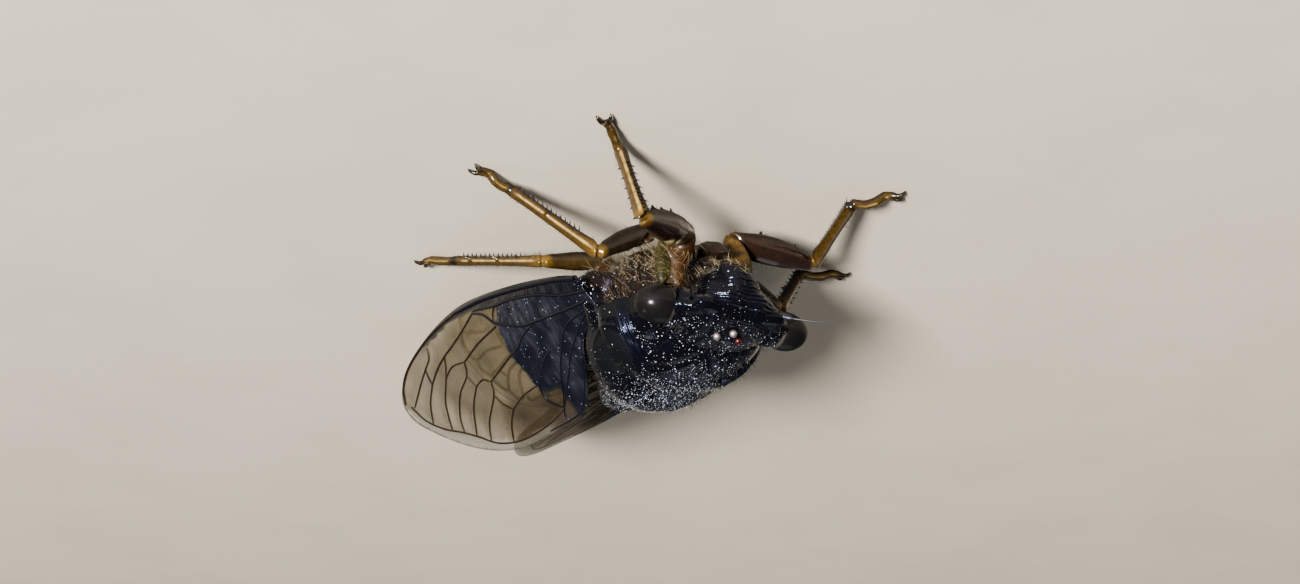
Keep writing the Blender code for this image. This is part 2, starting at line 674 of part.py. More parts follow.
def build_leg(name, joints, thorax):
    word, kind = name.split("_")
    joints = [Vector(j) for j in joints]
    cuts = [None] + [bend_plane(*joints[i - 1:i + 2]) for i in (1, 2, 3)] + [None]
    for i, part in enumerate(SEGMENTS):
        colour, roughness = LEG_COLOURS[part]
        if part == "femur" and kind != "fore":
            colour = BROWN
        surface = material("%s_%s" % (kind, part), colour, roughness)
        a, b = joints[i].copy(), joints[i + 1].copy()
        along = (b - a).normalized()
        if cuts[i] is not None:
            a += along * (GAP / 2 / max(0.35, along.dot(cuts[i])))
        if cuts[i + 1] is not None:
            b -= along * (GAP / 2 / max(0.35, along.dot(cuts[i + 1])))
        radii = LEG_RADII[kind][part]
        path = [a.lerp(b, k / (len(radii) - 1)) for k in range(len(radii))]
        if part == "coxa":
            path[0] -= along * 0.2
        if part == "tarsus":
            heel = b - Vector((along.x, along.y, 0)).normalized() * FOOT_FLAT
            path = [a.lerp(heel, k / (len(radii) - 2)) for k in range(len(radii) - 1)] + [b]
            for k, point in enumerate(path[:-1]):
                point.z += FOOT_ARCH[name] * sin(pi * k / (len(path) - 2))
        piece = tube("_".join((part, word, kind)), path, radii, surface, sides=10 if part != "tarsus" else 8,
                     start_normal=cuts[i], end_normal=cuts[i + 1])
        if part == "coxa":
            cut_clear(piece, thorax)
        if part == "tarsus":
            join(piece, claws(joints[3], joints[4]))
            for v in piece.data.vertices:
                v.co.z = max(v.co.z, 0.0)
            keep_largest(piece)
        spikes = leg_spines(kind, part, a, b)
        if spikes:
            join(piece, spikes)


def main():
    clear_scene()
    head = build_head()
    build_eyes(head)
    build_antennae(head)
    rostrum = build_rostrum()
    pronotum = build_pronotum()
    mesonotum = build_mesonotum()
    thorax = build_thorax(rostrum)
    build_abdomen()
    build_opercula()
    build_wings((pronotum, mesonotum, thorax))
    for name, joints in LEGS.items():
        build_leg(name, joints, thorax)
    for piece in bpy.data.objects:
        piece.data.shade_smooth()
        piece.data.set_sharp_from_angle(angle=radians(40))


main()
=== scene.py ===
"""A standing cicada, Fidicinoides opalina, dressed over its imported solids.

Shapes are worked out in millimetres in the row's own frame and become metres when a piece is finished:
+X is the insect's left side, -Y the way it faces and +Z up from the floor that it stands on.
"""

import logging
from dataclasses import dataclass, field
from enum import Enum
from math import cos, pi, radians, sin
from typing import Callable, Sequence

import bpy
import numpy as np
from mathutils import Matrix, Vector
from mathutils.bvhtree import BVHTree
from mathutils.geometry import delaunay_2d_cdt


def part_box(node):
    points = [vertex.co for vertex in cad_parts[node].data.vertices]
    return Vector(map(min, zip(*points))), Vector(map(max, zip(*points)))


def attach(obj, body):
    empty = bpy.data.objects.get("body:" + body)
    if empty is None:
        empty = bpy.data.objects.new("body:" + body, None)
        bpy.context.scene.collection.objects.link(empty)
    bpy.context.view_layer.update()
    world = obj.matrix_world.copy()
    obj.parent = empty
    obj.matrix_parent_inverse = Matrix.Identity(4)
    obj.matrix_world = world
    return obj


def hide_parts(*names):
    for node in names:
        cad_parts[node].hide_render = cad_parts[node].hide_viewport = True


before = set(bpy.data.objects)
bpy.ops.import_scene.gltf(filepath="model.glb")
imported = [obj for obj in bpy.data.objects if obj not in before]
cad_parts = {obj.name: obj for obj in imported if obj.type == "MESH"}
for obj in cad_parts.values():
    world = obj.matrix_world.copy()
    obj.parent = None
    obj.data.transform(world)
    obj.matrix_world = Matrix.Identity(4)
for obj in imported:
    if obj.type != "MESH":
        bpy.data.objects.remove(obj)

MM = 0.001
BODY = "root"
SIDES = (("left", 1), ("right", -1))
PRONOTUM_FRONT = 3.95     # distance of the pronotum's front edge behind the face
FOLD_SPACING = 0.16       # distance between the shell's fine folds

MIDLINE = (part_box("eye_left")[1].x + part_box("eye_right")[0].x) / 2 / MM
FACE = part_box("pronotum")[0].y / MM - PRONOTUM_FRONT

log = logging.getLogger("cicada")

Colour = tuple[float, float, float]
Place = tuple[float, float, float]
Line = tuple[tuple[float, float], ...]
Swelling = tuple[float, float, float, Place]
Value = bpy.types.NodeSocket | float | tuple | None


def at(x: float, y: float, z: float) -> np.ndarray:
    """A place in the row frame from its distance left of the midline, behind the face and above the floor."""
    return np.array((x + MIDLINE, y + FACE, z))


def body_axes(points: np.ndarray) -> tuple[np.ndarray, np.ndarray, np.ndarray]:
    """Distances left of the midline, behind the face and above the floor of row-frame points."""
    return points[:, 0] - MIDLINE, points[:, 1] - FACE, points[:, 2]


def ramp(value: np.ndarray, low: float, high: float) -> np.ndarray:
    """Rises smoothly from 0 at low to 1 at high."""
    u = np.clip((value - low) / (high - low), 0.0, 1.0)
    return u * u * (3 - 2 * u)


def curve_through(knots: Sequence[Sequence[float]], step: float) -> np.ndarray:
    """Points about a step apart on a smooth curve through the knots.

    Args:
        knots: places that the curve runs through, in two or three dimensions.
        step: distance between the points.

    Returns:
        The points, the first and last knots among them.
    """
    pts = np.array(knots, float)
    ends = np.vstack((2 * pts[0] - pts[1], pts, 2 * pts[-1] - pts[-2]))
    out = []
    for a, b, c, d in zip(ends, ends[1:], ends[2:], ends[3:]):
        count = max(1, int(round(np.linalg.norm(c - b) / step)))
        for u in np.arange(count) / count:
            out.append(0.5 * (2 * b + (c - a) * u + (2 * a - 5 * b + 4 * c - d) * u**2
                              + (3 * b - 3 * c + d - a) * u**3))
    return np.array(out + [pts[-1]])


# Meshes as arrays

@dataclass
class Shape:
    """A mesh as arrays: points in millimetres, faces as rows of point numbers, and named values per point."""

    points: np.ndarray
    faces: np.ndarray
    values: dict[str, np.ndarray] = field(default_factory=dict)

    def edges(self) -> np.ndarray:
        """Every edge once, as pairs of point numbers."""
        pairs = np.vstack([np.stack((self.faces[:, i], np.roll(self.faces, -1, axis=1)[:, i]), 1)
                           for i in range(self.faces.shape[1])])
        return np.unique(np.sort(pairs, axis=1), axis=0)

    def normals(self) -> np.ndarray:
        """Outward unit normals at the points.

        Returns:
            One row for each point.
        """
        a, b, c = (self.points[self.faces[:, i]] for i in (0, 1, 2))
        flat = np.cross(b - a, c - a)
        total = np.zeros_like(self.points)
        for corner in range(self.faces.shape[1]):
            for axis in range(3):
                total[:, axis] += np.bincount(self.faces[:, corner], flat[:, axis], len(total))
        return total / np.maximum(np.linalg.norm(total, axis=1, keepdims=True), 1e-12)

    def relax(self, rounds: int, factor: float = 0.5) -> None:
        """Smooths the points toward the mean of their neighbours.

        Args:
            rounds: how many times.
            factor: how far toward the mean each time.
        """
        self.points = averaged(self.points, self.edges(), rounds, factor)

    def push(self, offsets: np.ndarray | float) -> None:
        """Moves each point along its normal."""
        self.points = self.points + self.normals() * np.broadcast_to(offsets, len(self.points))[:, None]

    def mesh(self, name: str, scale: float = 1.0) -> bpy.types.Mesh:
        """A Blender mesh of this shape.

        Args:
            name: the mesh's name.
            scale: size of a millimetre in the mesh.

        Returns:
            The mesh, smooth shaded, with each named value as a point attribute.
        """
        mesh = bpy.data.meshes.new(name)
        mesh.from_pydata((self.points * scale).tolist(), [], self.faces.tolist())
        for key, values in self.values.items():
            if values.ndim == 2:
                attribute = mesh.attributes.new(key, "FLOAT_VECTOR", "POINT")
                attribute.data.foreach_set("vector", np.ascontiguousarray(values, np.float32).ravel())
            else:
                attribute = mesh.attributes.new(key, "FLOAT", "POINT")
                attribute.data.foreach_set("value", np.ascontiguousarray(values, np.float32))
        mesh.shade_smooth()
        return mesh


def averaged(values: np.ndarray, edges: np.ndarray, rounds: int, factor: float = 0.5) -> np.ndarray:
    """Values per point after rounds of blending with the mean of the neighbours.

    Args:
        values: one number or one row for each point.
        edges: pairs of neighbouring points.
        rounds: how many times.
        factor: how far toward the mean each time.

    Returns:
        The blended values, in the same form.
    """
    rows = values.reshape(len(values), -1).astype(float)
    count = np.maximum(np.bincount(edges.ravel(), minlength=len(rows)), 1)[:, None]
    for _ in range(rounds):
        total = np.stack([np.bincount(edges[:, 0], column[edges[:, 1]], len(rows))
                          + np.bincount(edges[:, 1], column[edges[:, 0]], len(rows)) for column in rows.T], 1)
        rows += factor * (total / count - rows)
    return rows.reshape(values.shape)


def solid(node: str) -> Shape:
    """A CAD node as one closed shape, with its loose triangles joined.

    Args:
        node: the node's name.

    Returns:
        The shape, in millimetres.
    """
    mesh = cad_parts[node].data
    points = np.empty(len(mesh.vertices) * 3)
    mesh.vertices.foreach_get("co", points)
    mesh.calc_loop_triangles()
    faces = np.empty(len(mesh.loop_triangles) * 3, np.int32)
    mesh.loop_triangles.foreach_get("vertices", faces)
    points, index = np.unique((points.reshape(-1, 3) / MM).round(3), axis=0, return_inverse=True)
    faces = index.ravel()[faces].reshape(-1, 3)
    whole = (faces[:, 0] != faces[:, 1]) & (faces[:, 1] != faces[:, 2]) & (faces[:, 2] != faces[:, 0])
    return Shape(points, faces[whole])


def joined(shapes: Sequence[Shape]) -> Shape:
    """Several shapes of the same kind of face as one."""
    starts = np.cumsum([0] + [len(s.points) for s in shapes])
    return Shape(np.vstack([s.points for s in shapes]),
                 np.vstack([s.faces + start for s, start in zip(shapes, starts)]))


def ellipsoid(centre: np.ndarray, radii: Sequence[float], around: int, along: int) -> Shape:
    """A closed ellipsoid of triangles, with its poles on the X axis.

    Args:
        centre: its middle.
        radii: half sizes along X, Y and Z.
        around: points round each ring.
        along: rings from pole to pole.

    Returns:
        The shape.
    """
    rings = [(cos(lean), sin(lean)) for lean in pi * np.arange(1, along) / along]
    points = [(1, 0, 0)] + [(c, s * cos(2 * pi * k / around), s * sin(2 * pi * k / around))
                            for c, s in rings for k in range(around)] + [(-1, 0, 0)]
    faces = []
    last = len(points) - 1
    for k in range(around):
        after = (k + 1) % around
        faces.append((0, 1 + k, 1 + after))
        faces.append((last, last - around + after, last - around + k))
        for ring in range(along - 2):
            a, b = 1 + ring * around + k, 1 + ring * around + after
            faces += [(a, a + around, b), (b, a + around, b + around)]
    return Shape(centre + np.array(points) * np.array(radii), np.array(faces))


def remeshed(shape: Shape, voxel: float) -> Shape:
    """The outer surface of overlapping closed shapes as even four-sided faces.

    Args:
        shape: the closed shapes.
        voxel: size of the faces.

    Returns:
        The one closed surface.
    """
    raw = bpy.data.objects.new("raw", shape.mesh("raw"))
    bpy.context.scene.collection.objects.link(raw)
    modifier = raw.modifiers.new("voxels", "REMESH")
    modifier.mode = "VOXEL"
    modifier.voxel_size = voxel
    mesh = evaluated_mesh(raw)
    points = np.empty(len(mesh.vertices) * 3)
    mesh.vertices.foreach_get("co", points)
    faces = np.empty(len(mesh.loops), np.int32)
    mesh.loops.foreach_get("vertex_index", faces)
    bpy.data.objects.remove(raw)
    bpy.data.meshes.remove(mesh)
    return Shape(points.reshape(-1, 3), faces.reshape(-1, 4))


def evaluated_mesh(piece: bpy.types.Object) -> bpy.types.Mesh:
    """A plain mesh of an object with its modifiers applied."""
    bpy.context.view_layer.update()
    return bpy.data.meshes.new_from_object(piece.evaluated_get(bpy.context.evaluated_depsgraph_get()))


def nearest_parts(points: np.ndarray, shapes: Sequence[Shape]) -> np.ndarray:
    """Finds the shape that each point lies closest to.

    Args:
        points: the points.
        shapes: shapes of triangles.

    Returns:
        The number of the shape for each point.
    """
    owner = np.concatenate([np.full(len(s.faces), i) for i, s in enumerate(shapes)])
    whole = joined(shapes)
    tree = BVHTree.FromPolygons(whole.points.tolist(), whole.faces.tolist())
    return owner[[tree.find_nearest(p)[2] for p in points.tolist()]]


# Node trees

class Graph:
    """Adds nodes to one node tree and joins them up."""

    def __init__(self, tree: bpy.types.NodeTree) -> None:
        """Keeps the tree that the nodes go into."""
        self.tree = tree

    def add(self, kind: str, *values: Value, output: int | str = 0, named: dict | None = None,
            **settings: object) -> bpy.types.NodeSocket:
        """Adds one node.

        Args:
            kind: the node's type.
            values: sockets or constants for its inputs in order, None to leave one alone.
            output: which output to return.
            named: sockets or constants by input name.
            settings: the node's own properties.

        Returns:
            The chosen output socket.
        """
        node = self.tree.nodes.new(kind)
        for key, value in settings.items():
            setattr(node, key, value)
        pairs = [(node.inputs[i], v) for i, v in enumerate(values) if v is not None]
        pairs += [(node.inputs[key], v) for key, v in (named or {}).items()]
        for socket, value in pairs:
            if isinstance(value, bpy.types.NodeSocket):
                self.tree.links.new(value, socket)
            else:
                socket.default_value = value
        return node.outputs[output]

    def attribute(self, name: str) -> bpy.types.NodeSocket:
        """The value that the surface carries under a name."""
        return self.add("ShaderNodeAttribute", attribute_name=name, output="Fac")

    def math(self, operation: str, a: Value, b: Value = None, c: Value = None,
             clamp: bool = False) -> bpy.types.NodeSocket:
        """One arithmetic step on up to three numbers."""
        return self.add("ShaderNodeMath", a, b, c, operation=operation, use_clamp=clamp)

    def mix(self, factor: Value, a: Value, b: Value, blend: str = "MIX") -> bpy.types.NodeSocket:
        """A blend of two colours."""
        a, b = ((*c, 1.0) if isinstance(c, tuple) and len(c) == 3 else c for c in (a, b))
        unused = (None,) * 5
        return self.add("ShaderNodeMix", factor, *unused, a, b, output=2, data_type="RGBA", blend_type=blend)

    def step(self, value: Value, low: float, high: float) -> bpy.types.NodeSocket:
        """Rises smoothly from 0 at low to 1 at high."""
        return self.add("ShaderNodeMapRange", value, low, high, interpolation_type="SMOOTHSTEP")

    def noise(self, vector: Value, scale: float, detail: float = 3.0,
              rough: float = 0.5) -> bpy.types.NodeSocket:
        """Noise between 0 and 1 with a stated number of swells in a unit of the vector."""
        return self.add("ShaderNodeTexNoise", named={"Vector": vector, "Scale": scale, "Detail": detail,
                                                     "Roughness": rough})


def group_tree(name: str, kind: str, inputs: Sequence[tuple], outputs: Sequence[tuple]
               ) -> tuple[bpy.types.NodeTree, Graph, dict, bpy.types.Node]:
    """An empty node group with its sockets.

    Args:
        name: the group's name.
        kind: ShaderNodeTree or GeometryNodeTree.
        inputs: socket name, socket type and, where it has one, default value.
        outputs: socket name and socket type.

    Returns:
        The tree, its graph, the input sockets by name, and the output node.
    """
    tree = bpy.data.node_groups.new(name, kind)
    for label, socket_type, *default in inputs:
        socket = tree.interface.new_socket(label, in_out="INPUT", socket_type=socket_type)
        if default:
            socket.default_value = default[0]
    for label, socket_type in outputs:
        tree.interface.new_socket(label, in_out="OUTPUT", socket_type=socket_type)
    entry = tree.nodes.new("NodeGroupInput")
    return tree, Graph(tree), {s.name: s for s in entry.outputs if s.name}, tree.nodes.new("NodeGroupOutput")


# Shader groups that several finishes share

def pitted_group() -> bpy.types.NodeTree:
    """Height of a shell's fine pits and wrinkles.

    Returns:
        The group, whose Fold is the distance across the folds in millimetres.
    """
    tree, g, given, out = group_tree(
        "pitted", "ShaderNodeTree",
        [("Wrinkle", "NodeSocketFloat", 0.0), ("Fold", "NodeSocketFloat", 0.0),
         ("Pits", "NodeSocketFloat", 0.3), ("Size", "NodeSocketFloat", 0.0002)],
        [("Height", "NodeSocketFloat")])
    place = g.add("ShaderNodeTexCoord", output="Object")
    scaled = g.add("ShaderNodeVectorMath", place, given["Size"], operation="DIVIDE")
    cells = g.add("ShaderNodeTexVoronoi", scaled, named={"Scale": 1.0}, feature="SMOOTH_F1")
    swell = g.noise(scaled, 0.35)
    waver = g.math("MULTIPLY", g.noise(place, 1500.0, 2.0), 5.0)
    folds = g.math("SINE", g.math("MULTIPLY_ADD", given["Fold"], 2 * pi / FOLD_SPACING, waver))
    relief = g.math("MULTIPLY_ADD", cells, given["Pits"], g.math("MULTIPLY", swell, 1.1))
    height = g.math("MULTIPLY", relief, g.math("MULTIPLY_ADD", given["Wrinkle"], -2.0, 1.0, clamp=True))
    tree.links.new(g.math("ADD", height, g.math("MULTIPLY", folds, given["Wrinkle"])), out.inputs["Height"])
    return tree


def mottled_group() -> bpy.types.NodeTree:
    """A colour broken up by a second one in soft patches of a stated size.

    Returns:
        The group, whose Share says how much of the second colour shows.
    """
    tree, g, given, out = group_tree(
        "mottled", "ShaderNodeTree",
        [("Colour", "NodeSocketColor"), ("Patch", "NodeSocketColor"), ("Share", "NodeSocketFloat", 0.5),
         ("Size", "NodeSocketFloat", 0.001)],
        [("Colour", "NodeSocketColor"), ("Mask", "NodeSocketFloat")])
    place = g.add("ShaderNodeTexCoord", output="Object")
    scaled = g.add("ShaderNodeVectorMath", place, given["Size"], operation="DIVIDE")
    mask = g.math("MULTIPLY", g.step(g.noise(scaled, 1.0, 5.0, 0.6), 0.42, 0.62), given["Share"])
    tree.links.new(g.mix(mask, given["Colour"], given["Patch"]), out.inputs["Colour"])
    tree.links.new(mask, out.inputs["Mask"])
    return tree


def specks_group() -> bpy.types.NodeTree:
    """Small round specks, more of them where the amount is larger.

    Returns:
        The group.
    """
    tree, g, given, out = group_tree(
        "specks", "ShaderNodeTree", [("Amount", "NodeSocketFloat", 0.5), ("Size", "NodeSocketFloat", 0.0001)],
        [("Mask", "NodeSocketFloat")])
    place = g.add("ShaderNodeTexCoord", output="Object")
    scaled = g.add("ShaderNodeVectorMath", place, given["Size"], operation="DIVIDE")
    cells = g.add("ShaderNodeTexVoronoi", named={"Vector": scaled, "Scale": 1.0}, feature="F1")
    chance = g.add("ShaderNodeSeparateColor", cells.node.outputs["Color"])
    round_dot = g.math("SUBTRACT", 1.0, g.step(cells, 0.2, 0.32))
    clumps = g.math("MULTIPLY", given["Amount"], g.step(g.noise(scaled, 0.16, 2.0), 0.25, 0.62))
    there = g.math("LESS_THAN", chance, clumps)
    tree.links.new(g.math("MULTIPLY", round_dot, there), out.inputs["Mask"])
    return tree


class Groups:
    """The shared shader groups, each built once."""

    built: dict[str, bpy.types.NodeTree] = {}
    makers: dict[str, Callable[[], bpy.types.NodeTree]] = {"pitted": pitted_group, "mottled": mottled_group,
                                                           "specks": specks_group}

    @classmethod
    def place(cls, g: Graph, name: str, output: str, **inputs: Value) -> bpy.types.NodeSocket:
        """Puts a shared group into a material.

        Args:
            g: the material's graph.
            name: the group.
            output: which of its outputs to return.
            inputs: values or sockets for its inputs.

        Returns:
            The output socket.
        """
        if name not in cls.built:
            cls.built[name] = cls.makers[name]()
        values = {k: (*v, 1.0) if isinstance(v, tuple) and len(v) == 3 else v for k, v in inputs.items()}
        node = g.tree.nodes.new("ShaderNodeGroup")
        node.node_tree = cls.built[name]
        for key, value in values.items():
            if isinstance(value, bpy.types.NodeSocket):
                g.tree.links.new(value, node.inputs[key])
            else:
                node.inputs[key].default_value = value
        return node.outputs[output]


# Finishes

@dataclass(frozen=True)
class Finish:
    """A material: a Principled shader whose constant values are its fields."""

    name: str
    colour: Colour = (0.5, 0.5, 0.5)
    roughness: float = 0.4
    coat: float = 0.0
    coat_roughness: float = 0.1
    coat_ior: float = 1.5
    specular: float = 0.5
    specular_tint: Colour = (1.0, 1.0, 1.0)
    bump: float = 0.2

    def material(self) -> bpy.types.Material:
        """The material, made the first time that it is asked for.

        Returns:
            The material.
        """
        found = bpy.data.materials.get(self.name)
        if found:
            return found
        material = bpy.data.materials.new(self.name)
        material.use_nodes = True
        shader = material.node_tree.nodes["Principled BSDF"]
        shader.inputs["Base Color"].default_value = (*self.colour, 1.0)
        shader.inputs["Roughness"].default_value = self.roughness
        shader.inputs["Coat Weight"].default_value = self.coat
        shader.inputs["Coat Roughness"].default_value = self.coat_roughness
        shader.inputs["Coat IOR"].default_value = self.coat_ior
        shader.inputs["Specular IOR Level"].default_value = self.specular
        shader.inputs["Specular Tint"].default_value = (*self.specular_tint, 1.0)
        self.dress(Graph(material.node_tree), shader)
        return material

    def dress(self, g: Graph, shader: bpy.types.Node) -> None:
        """Adds what changes over the surface. A plain finish adds patches of a darker shade.

        Args:
            g: the material's graph.
            shader: its Principled shader.
        """
        self.mottle(g, shader, darker=0.55, share=0.7, size=0.0006)

    def mottle(self, g: Graph, shader: bpy.types.Node, darker: float, share: float, size: float) -> None:
        """Colours the shader in patches.

        Args:
            g: the material's graph.
            shader: its Principled shader.
            darker: brightness of the patches beside the finish's own colour.
            share: how much of the patches shows.
            size: their size in metres.
        """
        shade = tuple(darker * c for c in self.colour)
        colour = Groups.place(g, "mottled", "Colour", Colour=self.colour, Patch=shade, Share=share, Size=size)
        g.tree.links.new(colour, shader.inputs["Base Color"])

    def emboss(self, g: Graph, shader: bpy.types.Node, height: bpy.types.NodeSocket, depth: float) -> None:
        """Joins a height to the shader's normal.

        Args:
            g: the material's graph.
            shader: its Principled shader.
            height: the height.
            depth: how deep a height of 1 is, in metres.
        """
        normal = g.add("ShaderNodeBump", named={"Strength": self.bump, "Distance": depth, "Height": height},
                       output="Normal")
        g.tree.links.new(normal, shader.inputs["Normal"])


@dataclass(frozen=True)
class Shell(Finish):
    """Black shell with a blue-violet gloss on the back plates and head, brown on the sides and below.

    The point attributes brown, wrinkle, bloom, pale and dull say where the shell is brown, folded, silvered
    over, pale green and matt; fold is the distance across the folds.
    """

    violet: Colour = (0.0032, 0.0034, 0.0062)
    brown: Colour = (0.0050, 0.0032, 0.0020)
    rust: Colour = (0.016, 0.008, 0.0035)
    moss: Colour = (0.0036, 0.0044, 0.0034)
    speck: Colour = (0.66, 0.72, 0.82)
    mark: Colour = (0.22, 0.33, 0.20)
    black_patch: float = 0.0012
    brown_patch: float = 0.0008
    coarse_speck: float = 0.000125
    fine_speck: float = 0.000085
    pit: float = 0.00013
    relief: float = 0.00004

    def dress(self, g: Graph, shader: bpy.types.Node) -> None:
        """Blends black and brown by attribute, with pits and folds.

        Args:
            g: the material's graph.
            shader: its Principled shader.
        """
        names = ("brown", "wrinkle", "fold", "bloom", "pale", "dull")
        brown, wrinkle, fold, bloom, pale, dull = (g.attribute(name) for name in names)
        black = Groups.place(g, "mottled", "Colour", Colour=self.colour, Patch=self.violet, Share=0.9,
                             Size=self.black_patch)
        black = g.mix(dull, black, self.moss)
        soft = Groups.place(g, "mottled", "Colour", Colour=self.brown, Patch=self.rust, Share=0.8,
                            Size=self.brown_patch)
        coarse = Groups.place(g, "specks", "Mask", Amount=bloom, Size=self.coarse_speck)
        fine = Groups.place(g, "specks", "Mask", Amount=g.math("MULTIPLY", bloom, 0.9), Size=self.fine_speck)
        dots = g.math("MAXIMUM", coarse, g.math("MULTIPLY", fine, 0.7))
        colour = g.mix(dots, g.mix(brown, black, soft), self.speck)
        g.tree.links.new(g.mix(pale, colour, self.mark), shader.inputs["Base Color"])
        matt = g.math("MAXIMUM", brown, dull)
        rough = g.math("MULTIPLY_ADD", g.math("MAXIMUM", matt, dots), 0.35, self.roughness)
        g.tree.links.new(rough, shader.inputs["Roughness"])
        gloss = g.math("MULTIPLY", self.coat, g.math("SUBTRACT", 1.0, matt))
        g.tree.links.new(gloss, shader.inputs["Coat Weight"])
        height = Groups.place(g, "pitted", "Height", Wrinkle=wrinkle, Fold=fold, Pits=0.35, Size=self.pit)
        self.emboss(g, shader, g.math("ADD", height, g.math("MULTIPLY", dots, 0.8)), self.relief)


@dataclass(frozen=True)
class EyeGlass(Finish):
    """Dark compound eye with fine facets."""

    edge: Colour = (0.12, 0.115, 0.10)
    facets: float = 26000.0
    relief: float = 0.000006

    def dress(self, g: Graph, shader: bpy.types.Node) -> None:
        """Adds facets and a paler band where the attribute rim says.

        Args:
            g: the material's graph.
            shader: its Principled shader.
        """
        rim = g.attribute("rim")
        place = g.add("ShaderNodeTexCoord", output="Object")
        patch = tuple(1.5 * c for c in self.colour)
        colour = Groups.place(g, "mottled", "Colour", Colour=self.colour, Patch=patch, Share=0.6, Size=0.0009)
        g.tree.links.new(g.mix(rim, colour, self.edge), shader.inputs["Base Color"])
        cells = g.add("ShaderNodeTexVoronoi", named={"Vector": place, "Scale": self.facets},
                      feature="SMOOTH_F1")
        self.emboss(g, shader, cells, self.relief)


@dataclass(frozen=True)
class LegShell(Finish):
    """Amber leg. The point attribute tint carries its colour along each joint of the leg, with painted shade
    on the inward, lower side and a painted highlight line along shin and foot.
    """

    stain: Colour = (0.03, 0.012, 0.006)
    patch: float = 0.0004
    pit: float = 0.00012
    relief: float = 0.00003
    glow: float = 0.12
    glow_depth: Place = (0.0006, 0.0003, 0.0001)

    def dress(self, g: Graph, shader: bpy.types.Node) -> None:
        """Breaks up the carried colour and adds fine grain; the attribute dull makes the shell matt.

        Args:
            g: the material's graph.
            shader: its Principled shader.
        """
        tint = g.add("ShaderNodeAttribute", attribute_name="tint", output="Color")
        dull = g.attribute("dull")
        g.tree.links.new(g.math("MULTIPLY_ADD", dull, 0.35, self.roughness), shader.inputs["Roughness"])
        gloss = g.math("MULTIPLY", g.math("SUBTRACT", 1.0, dull), self.coat)
        g.tree.links.new(gloss, shader.inputs["Coat Weight"])
        dark = g.mix(0.75, tint, self.stain, "MULTIPLY")
        share = g.math("MULTIPLY_ADD", dull, 0.5, 0.35)
        colour = Groups.place(g, "mottled", "Colour", Colour=tint, Patch=dark, Share=share, Size=self.patch)
        g.tree.links.new(colour, shader.inputs["Base Color"])
        height = Groups.place(g, "pitted", "Height", Wrinkle=0.0, Fold=0.0, Pits=0.25, Size=self.pit)
        self.emboss(g, shader, height, self.relief)
        shader.inputs["Subsurface Weight"].default_value = self.glow
        shader.inputs["Subsurface Radius"].default_value = self.glow_depth


